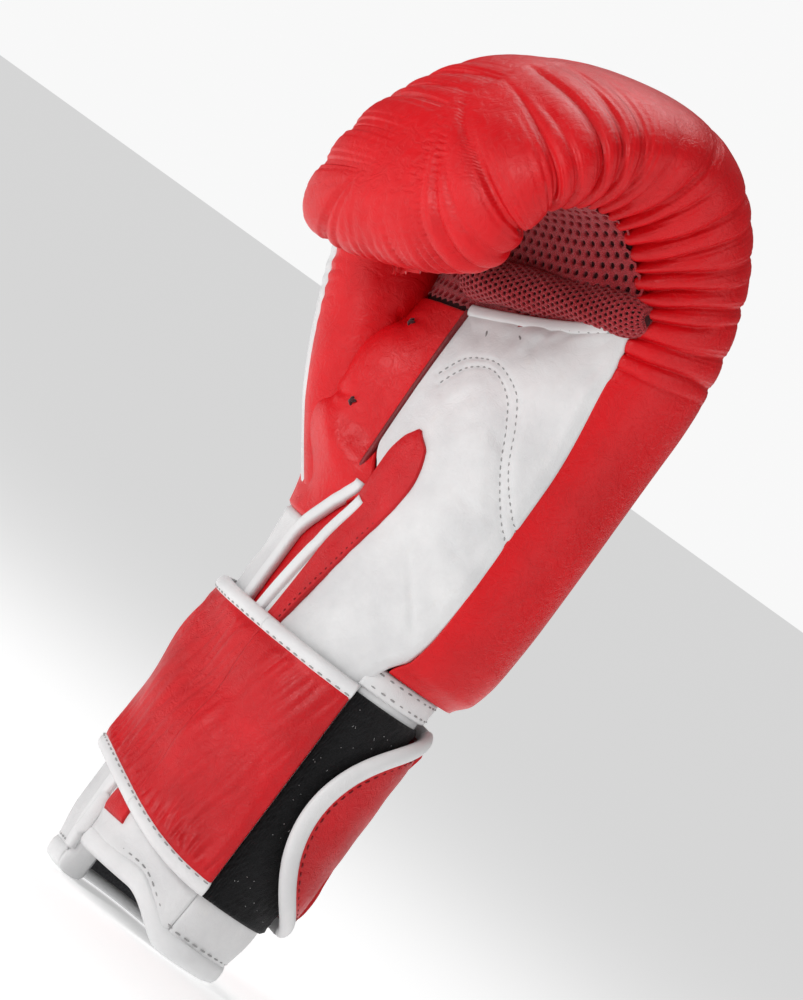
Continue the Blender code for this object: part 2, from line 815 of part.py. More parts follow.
def tab_rim(share, radius):
    """Length and height of the round end's outline: top edge, round the tip, lower edge."""
    start = TAB_HINGE + TRIM
    straight = 0.22
    if share <= straight:
        return mix(start, TAB_CENTRE, share / straight), TAB_MIDDLE + radius
    if share >= 1 - straight:
        return mix(start, TAB_CENTRE, (1 - share) / straight), TAB_MIDDLE - radius
    turn = math.pi * (share - straight) / (1 - 2 * straight)
    return TAB_CENTRE + radius * math.sin(turn), TAB_MIDDLE + radius * math.cos(turn)


def make_tab(red, white, black):
    hinge = hinge_point(TAB_HINGE)
    count = 26
    pad_thick = 0.0012

    def inside(radius, low, high):
        def place(i, j, side):
            top, bottom = tab_rim(j / count, radius), tab_rim(1 - j / count, radius)
            height = mix(bottom[1], top[1], i / 2)
            return strap_point(top[0], TAB_STANDOFF + (low if side else high), height)
        return place

    half_count = count // 2 - 1
    face = inside(TAB_HALF - STRAP_EDGE - GAP, 0.0, STRAP_THICK)
    layer("strap_tab_panel", 2, half_count, face, red, origin=hinge)
    hooks = inside(TAB_HALF - HOOK_INSET, -GAP - pad_thick, -GAP)
    layer("hook_pad", 2, half_count, hooks, black, origin=hinge)

    def border(i, j, side):
        arc, z = tab_rim(i / count, TAB_HALF - j * STRAP_EDGE)
        rise = STRAP_THICK + BINDING_RISE
        return strap_point(arc, TAB_STANDOFF + (1 - side) * rise, z)

    layer("strap_tab_piping", count, 1, border, white, origin=hinge)


def loop_point(station, angle, side):
    base = at_depth(STRAP_LEVEL, angle, -1.5 * GAP - (1 - side) * PILE)
    return Vector((base.x, base.y, station * MM))


# ---------------------------------------------------------------- assembly

def build():
    clear_scene()
    red = material("red_leather", RED, 0.38)
    white = material("white_leather", WHITE, 0.45)
    mesh_cloth = material("red_mesh", DARK_RED, 0.80)
    black = material("black_pile", BLACK, 0.95)
    foam = material("foam", FOAM, 0.90)
    cloth = material("lining_cloth", CLOTH, 0.85)
    guide = material("guide", WHITE, 1.0)

    shell = make_mitt_shell(red)
    knuckle = make_knuckle_pad(foam)
    palm_pad = make_palm_foam(foam)
    make_fingertip_pad(foam)
    lining = make_hand_lining(cloth)
    make_palm_panel(white)
    web = make_thumb_web(red)
    make_finger_mesh(mesh_cloth)
    make_palm_top_piping(white)
    seam_rows = [r for r in PALM_ROWS if 145 < r] + [PIVOT_Z - 4]
    strip("thumb_piping", seam_rows, thumb_seam_line, 0.0024, GAP, 0.0012, mesh_cloth)
    roll("grip_bar", GRIP_ENDS[0], GRIP_ENDS[1], GRIP_RADIUS, mesh_cloth)

    # thumb
    inner = thumb_layer("thumb_inner_panel", -100, 84, 0.0, LEATHER, red)
    outer_panel = thumb_layer("thumb_outer_panel", 85, 259, 0.0, LEATHER, white)
    thumb_foam = thumb_layer("thumb_foam", 0, 360, LEATHER + GAP, THUMB_FOAM, foam)
    sleeve_depth = LEATHER + THUMB_FOAM + 2 * GAP
    thumb_lining = thumb_layer("thumb_lining", 0, 360, sleeve_depth, LINING, cloth)
    body_rows = [MITT_START - 8] + [r for r in SHELL_ROWS if r > MITT_START + 2]
    mitt_body = ring_volume("mitt_body_guide", body_rows, swollen_shell, guide)
    hand_space = ring_volume("hand_space_guide", body_rows, hand_surface, guide)
    tunnel = thumb_volume("thumb_tunnel_guide", sleeve_depth - GAP, guide)
    for piece in (inner, outer_panel, thumb_foam):
        cut(piece, mitt_body)
    cut(thumb_lining, hand_space)
    for piece in (shell, knuckle, palm_pad, lining, web):
        cut(piece, tunnel)

    # cuff
    cuff_layer("cuff_back_panel", CUFF_ROWS, back_start, back_end, 20, back_skin, white)
    side_rows = [r for r in PALM_ROWS if r < 125] + [130]
    cuff_layer("cuff_thumb_panel", side_rows, thumb_start, slit_thumb, 4, outer_skin, white)
    cuff_layer("cuff_foam", CUFF_ROWS, slit_palm, slit_thumb_round, COLS_CUFF, middle_foam, foam)
    cuff_layer("cuff_lining", CUFF_ROWS, slit_palm, slit_thumb_round, COLS_CUFF, inner_cloth, cloth)
    make_mouth_binding(white)
    cuff_layer("collar_band", COLLAR_ROWS, collar_start, collar_end, 18, collar_point, white)
    gusset_rows = [r for r in PALM_ROWS if 15 < r < 135]
    cuff_layer("slit_gusset", gusset_rows, gusset_start, gusset_end, 2, gusset_skin, red)
    palm_slit_rows = [14] + [r for r in PALM_ROWS if 15 < r < 149] + [148]
    strip("slit_binding_palm", palm_slit_rows, palm_binding_line, SLIT_BINDING, GAP, 0.0014, white)
    thumb_slit_rows = [r for r in PALM_ROWS if 9 < r < 145]
    strip("slit_binding_thumb", thumb_slit_rows, thumb_binding_line, SLIT_BINDING, GAP, 0.0014, white)
    make_leaf_patch(red)
    cuff_layer("loop_panel", [22, 60, 100], loop_start, loop_end, 14, loop_point, black)

    # strap
    make_strap(red, white)
    make_tab(red, white, black)

    for obj in bpy.data.objects:
        obj.location += Vector(FRAME_SHIFT)


build()
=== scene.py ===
"""Looks of the boxing glove: leather, perforated mesh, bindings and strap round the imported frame.

The glove's body-fitted coordinates repeat the design's: station (height above the mouth in mm, and past
PIVOT_Z one unit for each degree of the finger curl), angle round the section, and depth in metres inwards.
"""

import math

import bmesh
import bpy
import numpy as np
from mathutils import Matrix, Vector


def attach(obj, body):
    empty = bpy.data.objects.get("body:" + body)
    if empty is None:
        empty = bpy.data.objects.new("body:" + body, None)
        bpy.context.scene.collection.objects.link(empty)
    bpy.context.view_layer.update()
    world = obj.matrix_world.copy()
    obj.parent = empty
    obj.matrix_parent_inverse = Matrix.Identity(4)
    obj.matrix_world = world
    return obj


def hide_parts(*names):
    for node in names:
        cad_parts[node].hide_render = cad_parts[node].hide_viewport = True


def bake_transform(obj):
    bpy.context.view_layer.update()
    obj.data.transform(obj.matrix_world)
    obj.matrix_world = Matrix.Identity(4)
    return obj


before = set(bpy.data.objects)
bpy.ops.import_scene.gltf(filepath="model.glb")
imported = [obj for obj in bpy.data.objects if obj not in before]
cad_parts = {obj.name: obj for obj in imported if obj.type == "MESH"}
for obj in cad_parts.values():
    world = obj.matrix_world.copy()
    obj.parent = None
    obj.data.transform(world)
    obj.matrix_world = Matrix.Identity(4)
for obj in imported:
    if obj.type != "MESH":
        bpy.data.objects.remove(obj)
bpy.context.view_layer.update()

MM = 0.001
SHIFT = np.array((0.0065, 0.0294, 0.0))    # from the hand's own axes to the middle of the whole glove
SECTION_POWER = 2.3
PIVOT_Y = -0.050
PIVOT_Z = 212.0
CURL_END = 212.0
DOME_START = 178.0
LAST = PIVOT_Z + CURL_END
SLANT = 0.20
KNUCKLE_SLANT = 0.18
TIP_SLANT = 0.28
MITT_START = 110.5
NOTCH_END = 384.0
PALM_TOP = (217.0, 243.0)
THUMB_SEAM = 267.0
SLIT_TOP = 150.0
FLAP_LIFT = 0.010
STRAP_TOP = 0.102
STRAP_EDGE = 0.0055
STRAP_THICK = 0.0024
STRAP_STANDOFF = 0.0022
TAB_STANDOFF = 0.0040
STRAP_LEVEL = 80.0
ROOT_SEAM = -26.0
PALM_FOLD = -132.0
THUMB_FOLD = -210.0
TAB_FOLD = -285.0
TAB_TIP = -371.0
TAB_LOW = 0.024
TAB_START = 0.1935                         # where the round end begins, along the strap
FIRST_ROW = 3.4                            # station of the leathers' lower edges
MESH_PITCH = 0.0037
GRIP_RADIUS = 0.0069
STITCH_SHAPE = np.array(((0.0, 0.35, -0.7), (0.15, 0.85, -0.1), (0.5, 1.0, 0.25),
                         (0.85, 0.85, -0.1), (1.0, 0.35, -0.7)))    # along, thickness and height
STITCH_CORNERS = 6
STITCH_SUNK = 0.25

PICTURE_HEIGHT = 1000
PIXEL = 0.306                              # mm of the glove for each pixel of the picture
PICTURE_ROLL = 36.87
CENTRE_ACROSS = -0.0098
CENTRE_UP = 0.153
SENSOR = 36.0
CAMERA_DISTANCE = 4.0


# ---------------------------------------------------------------- curves and surfaces

def curve(*points):
    """Smooth function through (position, value) pairs, without overshoot, for numbers or arrays."""
    at, value = np.array(points, float).T
    slope = np.diff(value) / np.diff(at)
    tangent = np.zeros(len(at))
    same_way = slope[:-1] * slope[1:] > 0
    middle = np.where(same_way, 2 * slope[:-1] * slope[1:] / np.where(same_way, slope[:-1] + slope[1:], 1), 0)
    tangent[1:-1] = middle

    def read(x):
        x = np.clip(np.asarray(x, float), at[0], at[-1])
        k = np.clip(np.searchsorted(at, x, side="right") - 1, 0, len(at) - 2)
        span = at[k + 1] - at[k]
        t = (x - at[k]) / span
        return ((2 * t ** 3 - 3 * t ** 2 + 1) * value[k] + (t ** 3 - 2 * t ** 2 + t) * span * tangent[k]
                + (3 * t ** 2 - 2 * t ** 3) * value[k + 1] + (t ** 3 - t ** 2) * span * tangent[k + 1])

    return read


palm_size = curve((0, 26), (20, 23.5), (100, 23), (130, 22), (160, 20), (212, 18), (242, 22), (272, 30),
                  (302, 35), (332, 28), (362, 17), (392, 11), (424, 10))
cuff_back = curve((0, 74), (20, 76.5), (112, 77), (424, 77))
mitt_back = curve((0, 81), (110, 81), (116, 83.5), (126, 84.5), (212, 84), (257, 87), (282, 89.5), (312, 78),
                  (342, 58), (372, 46), (392, 42), (424, 37))
pinky_side = curve((0, 38), (20, 41), (100, 42), (110, 47), (118, 53.5), (130, 57), (150, 58.5), (272, 58.5),
                   (302, 57), (342, 54), (372, 50), (392, 46), (424, 44))
mitt_pinky = curve((0, 49), (110, 49), (117, 54.5), (130, 57.5), (150, 58.5), (272, 58.5), (302, 57), (342, 54),
                   (372, 50), (392, 46), (424, 44))
thumb_side = curve((0, 38), (20, 41), (100, 42), (125, 45), (140, 50), (155, 55), (180, 57.5), (212, 57),
                   (242, 53), (272, 48), (302, 43), (342, 41), (372, 41), (392, 42), (424, 42))
hand_palm = curve((0, 32.5), (20, 30), (100, 29.5), (130, 29), (160, 27.5), (212, 26), (257, 33), (302, 41),
                  (332, 36), (362, 26), (392, 20), (424, 17.5))
hand_back = curve((0, 67.5), (20, 70), (110, 70), (130, 66), (160, 61), (212, 59), (257, 61), (302, 63),
                  (332, 53), (362, 42), (392, 36), (424, 31))
hand_side = curve((0, 31.5), (20, 34.5), (110, 36), (130, 40), (150, 43), (212, 44), (242, 41), (272, 37),
                  (302, 33), (342, 31), (392, 31), (424, 28))
cavity_turn = curve((0, 0), (110, 110), (160, 142), (212, 165))
pinky_edge = curve((0, -28), (100, -25), (180, -24), (212, -30), (242, -36), (272, -44), (302, -49),
                   (332, -50), (362, -55), (377, -68), (384, -84), (424, -84))
slit_palm_x = curve((0, -14), (25, -12), (60, -7), (102, -5), (130, 0), (152, 7), (424, 7))
slit_thumb_x = curve((0, -13), (102, -14), (125, -13), (140, -4), (150, 4), (424, 4))


def thumb_edge(station):
    return 180.0 - pinky_edge(station)


def mix(a, b, t):
    return a + (b - a) * t


def ease(t):
    t = np.clip(t, 0.0, 1.0)
    return t * t * (3.0 - 2.0 * t)


def power(value):
    return np.sign(value) * np.abs(value) ** (2.0 / SECTION_POWER)


def on_section(station, angle, palm, back, pinky, thumb, inside=False):
    c, s = power(np.cos(np.radians(angle))), power(np.sin(np.radians(angle)))
    t = np.clip((station - PIVOT_Z - DOME_START) / (CURL_END - DOME_START), 0, 1)
    wide, thick = np.cbrt(1 - t ** 3), np.sqrt(1 - t * t)
    x = np.where(c > 0, pinky, thumb) * c * wide * MM
    reach = ((palm + back) / 2 + (back - palm) / 2 * s * thick) * MM
    inner = (1 - s) / 2
    tip = ease((station - PIVOT_Z - 100) / 65)
    fan = SLANT * ease((station - 160) / 52) * inner + KNUCKLE_SLANT * ease((station - 200) / 60) * (1 - inner)
    rise = mix(fan * x, TIP_SLANT * (x + 0.040), tip)
    curl = np.maximum(station - PIVOT_Z, 0.0)
    turn = np.radians(cavity_turn(curl) if inside else curl)
    y = PIVOT_Y + reach * np.cos(turn)
    z = np.minimum(station, PIVOT_Z) * MM + reach * np.sin(turn) + rise
    return np.stack([x + SHIFT[0], y + SHIFT[1], z], axis=-1)


def lift(station, angle):
    around = np.mod(angle, 360)
    rise = FLAP_LIFT * ease((338 - around) / 45) * ease((60 - station) / 50)
    return np.where((around < 255) | (around > 338), 0.0, rise)


def outer(station, angle, part="palm"):
    station, angle = np.broadcast_arrays(np.asarray(station, float), np.asarray(angle, float))
    side = np.minimum(station, 100) if part == "cuff" else station
    if part == "cuff":
        back = cuff_back(station)
    elif part == "mitt":
        back = mitt_back(station)
    else:
        back = mix(cuff_back(station), mitt_back(station), ease((station - 107) / 10))
    pinky = mitt_pinky(side) if part == "mitt" else pinky_side(side)
    point = on_section(station, angle, palm_size(station), back, pinky, thumb_side(side))
    point[..., 2] += lift(station, angle)
    return point


def cavity(station, angle):
    station, angle = np.broadcast_arrays(np.asarray(station, float), np.asarray(angle, float))
    side = hand_side(station)
    point = on_section(station, angle, hand_palm(station), hand_back(station), side, side, inside=True)
    point[..., 2] += lift(station, angle)
    return point


def unit(v):
    return v / np.maximum(np.linalg.norm(v, axis=-1, keepdims=True), 1e-12)


def at_depth(station, angle, depth, part="palm"):
    out = outer(station, angle, part)
    return out + unit(cavity(station, angle) - out) * np.asarray(depth)[..., None]


def angle_at_x(station, x_mm):
    side = np.where(np.asarray(x_mm) > 0, pinky_side(station), thumb_side(station))
    share = (np.abs(x_mm) / side) ** (SECTION_POWER / 2)
    return 270.0 + np.sign(x_mm) * np.degrees(np.arcsin(share))


def slit_palm(station):
    return angle_at_x(station, slit_palm_x(station))


def slit_thumb(station):
    return angle_at_x(station, slit_thumb_x(station))


def palm_top(angle):
    share = (angle - THUMB_SEAM) / (360 + pinky_edge(PALM_TOP[1]) - THUMB_SEAM)
    return mix(PALM_TOP[0], PALM_TOP[1], np.clip(share, 0, 1))


def outward(points):
    """Unit normals of a grid of points."""
    return unit(np.cross(np.gradient(points, axis=1), np.gradient(points, axis=0)))


def away_from(points, centre):
    """Unit normals of a grid of points, on the side that faces away from the centre."""
    normal = outward(points)
    return -normal if np.einsum("ijk,ijk->ij", normal, points - centre).mean() < 0 else normal


def lengths(points, axis):
    """Running length in metres along one axis of a grid of points."""
    step = np.linalg.norm(np.diff(points, axis=axis), axis=-1)
    pad = [(0, 0)] * step.ndim
    pad[axis] = (1, 0)
    return np.cumsum(np.pad(step, pad), axis=axis)


def edge_sink(distance, radius):
    """How far a rolled leather edge of this radius drops, at a distance from the edge."""
    t = np.clip(1 - distance / radius, 0, 1)
    return radius * (1 - np.sqrt(1 - t * t))


def noise(points, scale, seed):
    """Smooth noise from -1 to 1, as a few plane waves in directions drawn from the seed."""
    rng = np.random.default_rng(seed)
    total = np.zeros(points.shape[:-1])
    for _ in range(9):
        way = rng.normal(size=3)
        way *= rng.uniform(0.6, 1.5) / (scale * np.linalg.norm(way))
        total += np.sin(points @ way * 2 * math.pi + rng.uniform(0, 2 * math.pi))
    return total / 3.2


# ---------------------------------------------------------------- meshes

def to_object(name, points, faces, material, smooth=True):
    mesh = bpy.data.meshes.new(name)
    mesh.from_pydata([tuple(p) for p in points.tolist()], [], faces)
    mesh.update()
    obj = bpy.data.objects.new(name, mesh)
    bpy.context.scene.collection.objects.link(obj)
    mesh.materials.append(material)
    if smooth:
        mesh.shade_smooth()
    return obj


def grid_faces(rows, cols, start=0, ring=False, flip=False):
    count = cols if ring else cols - 1
    i, j = np.meshgrid(np.arange(rows - 1), np.arange(count), indexing="ij")
    a = start + i * cols + j
    b = start + i * cols + (j + 1) % cols
    quads = np.stack([a, b, b + cols, a + cols], axis=-1).reshape(-1, 4)
    return (quads[:, ::-1] if flip else quads).tolist()


def slab(name, top, bottom, material, flip=False):
    """Closed sheet between two grids of points of the same size."""
    rows, cols = top.shape[:2]
    count = rows * cols
    faces = grid_faces(rows, cols, flip=flip) + grid_faces(rows, cols, start=count, flip=not flip)
    rim = ([(0, j) for j in range(cols)] + [(i, cols - 1) for i in range(1, rows)]
           + [(rows - 1, j) for j in range(cols - 2, -1, -1)] + [(i, 0) for i in range(rows - 2, 0, -1)])
    index = [i * cols + j for i, j in rim]
    for one, two in zip(index, index[1:] + index[:1]):
        quad = [two, one, one + count, two + count]
        faces.append(quad[::-1] if flip else quad)
    points = np.concatenate([top.reshape(-1, 3), bottom.reshape(-1, 3)])
    return weld(to_object(name, points, faces, material))


def weld(obj, distance=2e-6):
    bm = bmesh.new()
    bm.from_mesh(obj.data)
    bmesh.ops.remove_doubles(bm, verts=bm.verts, dist=distance)
    bmesh.ops.recalc_face_normals(bm, faces=bm.faces)
    bm.to_mesh(obj.data)
    bm.free()
    return obj


def capped(name, rings, material):
    """Closed bar through a stack of rings of points."""
    rows, cols = rings.shape[:2]
    ends = [list(range(cols))[::-1], list(range((rows - 1) * cols, rows * cols))]
    return to_object(name, rings.reshape(-1, 3), grid_faces(rows, cols, ring=True) + ends, material)


def sweep(name, path, normal, profile, material):
    """Bar along a path. profile is a list of (across, up) in metres, in order round the bar."""
    tangent = unit(np.gradient(path, axis=0))
    across = unit(np.cross(tangent, normal))
    up = unit(np.cross(across, tangent))
    profile = np.asarray(profile)
    rings = path[:, None] + across[:, None] * profile[None, :, :1] + up[:, None] * profile[None, :, 1:]
    return weld(capped(name, rings, material))


def half_round(width, height, base):
    """Profile of a folded binding: flat below and rounded above."""
    turn = np.linspace(0, math.pi, 10)
    top = [(width / 2 * math.cos(a), height * math.sin(a) ** 0.7) for a in turn]
    return top + [(-width / 2, -base), (width / 2, -base)]


def resample(path, step):
    """Points along a path at even steps."""
    run = lengths(path, 0)
    at = np.linspace(0, run[-1], max(2, int(run[-1] / step)))
    return np.stack([np.interp(at, run, path[:, k]) for k in range(3)], axis=1)


def stitch_rings(path, normals, length, gap, radius):
    """Points of short rounded stitches along a path: stitches by rings by corners."""
    run = lengths(path, 0)
    starts = np.arange(gap / 2, max(run[-1] - length, gap), length + gap)
    at = starts[:, None] + length * STITCH_SHAPE[:, 0]
    place = np.stack([np.interp(at, run, path[:, k]) for k in range(3)], axis=-1)
    normal = unit(np.stack([np.interp(at, run, normals[:, k]) for k in range(3)], axis=-1))
    tangent = unit(place[:, -1:] - place[:, :1])
    across = unit(np.cross(np.broadcast_to(tangent, normal.shape), normal))
    turn = np.arange(STITCH_CORNERS) * math.pi / 3
    swell, rise = (STITCH_SHAPE[:, k][None, :, None, None] for k in (1, 2))
    up = rise - STITCH_SUNK + swell * np.sin(turn)[None, None, :, None]
    side = swell * np.cos(turn)[None, None, :, None]
    return place[:, :, None] + radius * (normal[:, :, None] * up + across[:, :, None] * side)


def sew(rows, line, length, gap, radius=0.00030):
    """Adds a row of stitches along a line, given as its path and normals."""
    rows.append((*line, length, gap, radius))


def threads(name, rows, material):
    """One object of every stitch in rows that sew() made."""
    points, faces, start = [], [], 0
    count, corners = len(STITCH_SHAPE), STITCH_CORNERS
    for row in rows:
        rings = stitch_rings(*row)
        for _ in rings:
            last = start + (count - 1) * corners
            faces += grid_faces(count, corners, start=start, ring=True)
            faces += [[start + k for k in range(corners)][::-1], [last + k for k in range(corners)]]
            start += count * corners
        points.append(rings.reshape(-1, 3))
    return to_object(name, np.concatenate(points), faces, material)


# ---------------------------------------------------------------- materials

class Nodes:
    """Short way to write a material's node tree."""

    def __init__(self, name):
        self.material = bpy.data.materials.new(name)
        self.material.use_nodes = True
        self.tree = self.material.node_tree
        self.shader = self.tree.nodes["Principled BSDF"]
        self.place = self.add("ShaderNodeTexCoord").outputs["Object"]

    def put(self, socket, value):
        """Links a socket to another node's output, or gives it a number or a colour."""
        if isinstance(value, bpy.types.NodeSocket):
            self.tree.links.new(value, socket)
        else:
            socket.default_value = (*value, 1.0) if isinstance(value, tuple) else value

    def add(self, kind, inputs=(), **settings):
        node = self.tree.nodes.new(kind)
        for key, value in settings.items():
            setattr(node, key, value)
        for key, value in inputs:
            self.put(node.inputs[key], value)
        return node

    def noise(self, scale, detail=4.0, rough=0.55, warp=0.0):
        return self.add("ShaderNodeTexNoise", (("Scale", scale), ("Detail", detail), ("Roughness", rough),
                                               ("Distortion", warp), ("Vector", self.place))).outputs["Fac"]

    def cells(self, scale):
        return self.add("ShaderNodeTexVoronoi", (("Scale", scale), ("Vector", self.place)),
                        feature="DISTANCE_TO_EDGE").outputs["Distance"]

    def spread(self, value, low, high, out_low=0.0, out_high=1.0):
        return self.add("ShaderNodeMapRange", (("From Min", low), ("From Max", high), ("To Min", out_low),
                                               ("To Max", out_high), ("Value", value))).outputs["Result"]

    def math(self, operation, a, b):
        return self.add("ShaderNodeMath", ((0, a), (1, b)), operation=operation).outputs["Value"]

    def colour(self, factor, one, two):
        return self.add("ShaderNodeMix", (("Factor", factor), ("A", one), ("B", two)),
                        data_type="RGBA").outputs["Result"]

    def bump(self, height, strength, distance, under=None):
        inputs = (("Strength", strength), ("Distance", distance), ("Height", height))
        return self.add("ShaderNodeBump", inputs + ((("Normal", under),) if under else ())).outputs["Normal"]

    def set(self, **sockets):
        for key, value in sockets.items():
            self.put(self.shader.inputs[key.replace("_", " ")], value)


def leather(name, light, deep, rough=(0.30, 0.44), pores=0.35, coat=0.25, creases=0.5, wear=None, shine=0.4):
    """Grained leather: pebbled pores, finer creases, cloudy tone and rubbed patches."""
    n = Nodes(name)
    cloud = n.noise(38.0, 5.0, 0.6)
    tone = n.spread(cloud, 0.35, 0.68)
    base = n.colour(tone, deep, light)
    grain = n.spread(n.cells(1500.0), 0.0, 0.32)
    fine = n.noise(2600.0, 3.0, 0.6)
    crease = n.spread(n.noise(210.0, 6.0, 0.62, 1.4), 0.42, 0.56)
    height = n.math("ADD", n.math("MULTIPLY", grain, 0.7), n.math("MULTIPLY", fine, 0.5))
    low = n.bump(crease, creases, 0.00022)
    if wear is not None:
        base = n.colour(n.spread(n.noise(120.0, 6.0, 0.7), 0.60, 0.74), base, wear)
    n.set(Base_Color=base,
          Roughness=n.spread(n.noise(90.0, 5.0, 0.6), 0.3, 0.7, *rough),
          Coat_Weight=coat, Coat_Roughness=0.3, Specular_IOR_Level=shine,
          Normal=n.bump(height, pores, 0.00012, under=low))
    return n.material


def cloth(name, light, deep, scale=1400.0, rough=0.85, sheen=0.3):
    """Woven or felted cloth."""
    n = Nodes(name)
    weave = n.noise(scale, 3.0, 0.6)
    tone = n.math("MULTIPLY", n.spread(weave, 0.3, 0.7), n.spread(n.noise(60.0), 0.2, 0.8, 0.6, 1.0))
    n.set(Base_Color=n.colour(tone, deep, light), Roughness=rough, Sheen_Weight=sheen,
          Sheen_Roughness=0.5, Specular_IOR_Level=0.25, Normal=n.bump(weave, 0.8, 0.0003))
    return n.material


def knitted(name, light, deep):
    """Ribbed knit of the perforated panel: fine crossing yarns."""
    n = Nodes(name)
    yarn = n.noise(2400.0, 4.0, 0.7)
    knots = n.spread(n.cells(1700.0), 0.0, 0.25)
    height = n.math("ADD", n.math("MULTIPLY", yarn, 0.8), knots)
    n.set(Base_Color=n.colour(n.spread(height, 0.35, 1.2), deep, light), Roughness=0.78, Sheen_Weight=0.25,
          Sheen_Roughness=0.4, Specular_IOR_Level=0.3, Normal=n.bump(height, 0.7, 0.0003))
    return n.material


RED = leather("red_leather_grain", (0.70, 0.003, 0.008), (0.61, 0.002, 0.006), rough=(0.34, 0.46),
              coat=0.06, shine=0.28)
STRAP_RED = leather("red_strap_grain", (0.64, 0.003, 0.009), (0.50, 0.002, 0.006), rough=(0.34, 0.50),
                    pores=0.5, creases=0.5, coat=0.08, shine=0.32)
# red piping leather, darkened to paint the shade in the seam gap between the thumb and the palm
SEAM_SHADE_RED = leather("red_piping_painted_seam_shade", (0.26, 0.006, 0.010), (0.14, 0.003, 0.005), coat=0.1)
WHITE = leather("white_leather_grain", (0.76, 0.76, 0.76), (0.64, 0.64, 0.645), rough=(0.42, 0.58),
                pores=0.18, creases=0.22, coat=0.05, wear=(0.70, 0.69, 0.68))
TRIM = leather("white_trim_grain", (0.80, 0.80, 0.80), (0.72, 0.72, 0.725), rough=(0.42, 0.56), pores=0.15,
               creases=0.2, coat=0.05)
MESH = knitted("red_mesh_knit", (0.52, 0.030, 0.042), (0.28, 0.011, 0.016))
BACKING = cloth("mesh_backing_cloth", (0.055, 0.002, 0.003), (0.016, 0.001, 0.0015), 900.0, 0.9, 0.1)
THREAD_WHITE = cloth("white_thread", (0.46, 0.46, 0.45), (0.28, 0.28, 0.28), 5000.0, 0.6, 0.1)
THREAD_RED = cloth("red_thread", (0.34, 0.006, 0.012), (0.15, 0.003, 0.005), 5000.0, 0.6, 0.1)
LOOPS = cloth("loop_pile", (0.018, 0.018, 0.020), (0.002, 0.002, 0.002), 2600.0, 0.95, 0.12)
HOOKS = cloth("hook_bed", (0.030, 0.030, 0.032), (0.006, 0.006, 0.006), 1800.0, 0.55, 0.0)
LINT = cloth("lint", (0.50, 0.50, 0.50), (0.30, 0.30, 0.30), 3000.0)
LINING = cloth("lining_weave", (0.14, 0.14, 0.15), (0.05, 0.05, 0.055), 1600.0)
KNOT = cloth("tuft_knot", (0.10, 0.012, 0.016), (0.03, 0.004, 0.006), 3000.0)


# ---------------------------------------------------------------- mitt

def mitt_edge_path(low):
    """Points of the shell's gathered edge: up the little-finger side, across the tips, down the thumb side."""
    up = np.linspace(low, NOTCH_END, 220)
    right = outer(up, pinky_edge(up) + 360, "mitt")
    across = np.linspace(pinky_edge(NOTCH_END) + 360, thumb_edge(NOTCH_END), 40)[1:-1]
    tip = outer(np.full_like(across, NOTCH_END), across, "mitt")
    down = up[::-1]
    left = outer(down, thumb_edge(down), "mitt")
    return np.concatenate([right, tip, left])


def gathers(points, low=216.0):
    """Depth of the puckers at each point: creases that fan out from the sewn edge, with puffs between."""
    path = resample(mitt_edge_path(low), 0.0008)
    run = np.arange(len(path)) * np.linalg.norm(path[1] - path[0]) / MM
    flat = points.reshape(-1, 3)
    near = np.empty(len(flat), int)
    far = np.empty(len(flat))
    for first in range(0, len(flat), 4000):
        gap = np.linalg.norm(flat[first:first + 4000, None] - path[None], axis=2)
        near[first:first + 4000] = gap.argmin(axis=1)
        far[first:first + 4000] = gap.min(axis=1) / MM
    tangent = unit(np.gradient(path, axis=0))
    slip = np.einsum("ij,ij->i", flat - path[near], tangent[near]) / MM
    along = run[near] + np.clip(slip, -0.4, 0.4)
    rng = np.random.default_rng(7)
    total = run[-1]
    spots = [3.0]
    while spots[-1] < total - 3:
        spots.append(spots[-1] + rng.uniform(3.4, 5.6))
    spots = np.array(spots)
    drop = np.zeros(len(flat))
    for spot in spots:
        calm = np.exp(-((spot / total - 0.5) / 0.17) ** 2)
        reach = rng.uniform(24, 56) * (1 - 0.52 * calm)
        strength = rng.uniform(0.6, 1.25) * (1 - 0.35 * calm)
        drift = rng.uniform(-0.035, 0.035)
        wobble = rng.uniform(0, 2 * math.pi)
        centre = spot + drift * far + 0.35 * np.sin(far / 5.5 + wobble) * np.clip(far / 12, 0, 1)
        width = 0.60 + 0.006 * far
        fade = np.exp(-(far / reach) ** 2.6) * (1 - ease((far - 48) / 18))
        drop += 3.3 * strength * fade * np.exp(-(np.abs(along - centre) / width) ** 1.12)
    k = np.clip(np.searchsorted(spots, along) - 1, 0, len(spots) - 2)
    share = (along - spots[k]) / (spots[k + 1] - spots[k])
    puff = np.where((share > 0) & (share < 1), 1 - (2 * share - 1) ** 2, 0)
    drop -= 1.2 * puff * np.exp(-(far / 24) ** 1.7)
    ends = ease(along / 22) * ease((total - along) / 22)
    return (drop * MM * (0.25 + 0.75 * ends)).reshape(points.shape[:-1]), (far * MM).reshape(points.shape[:-1])


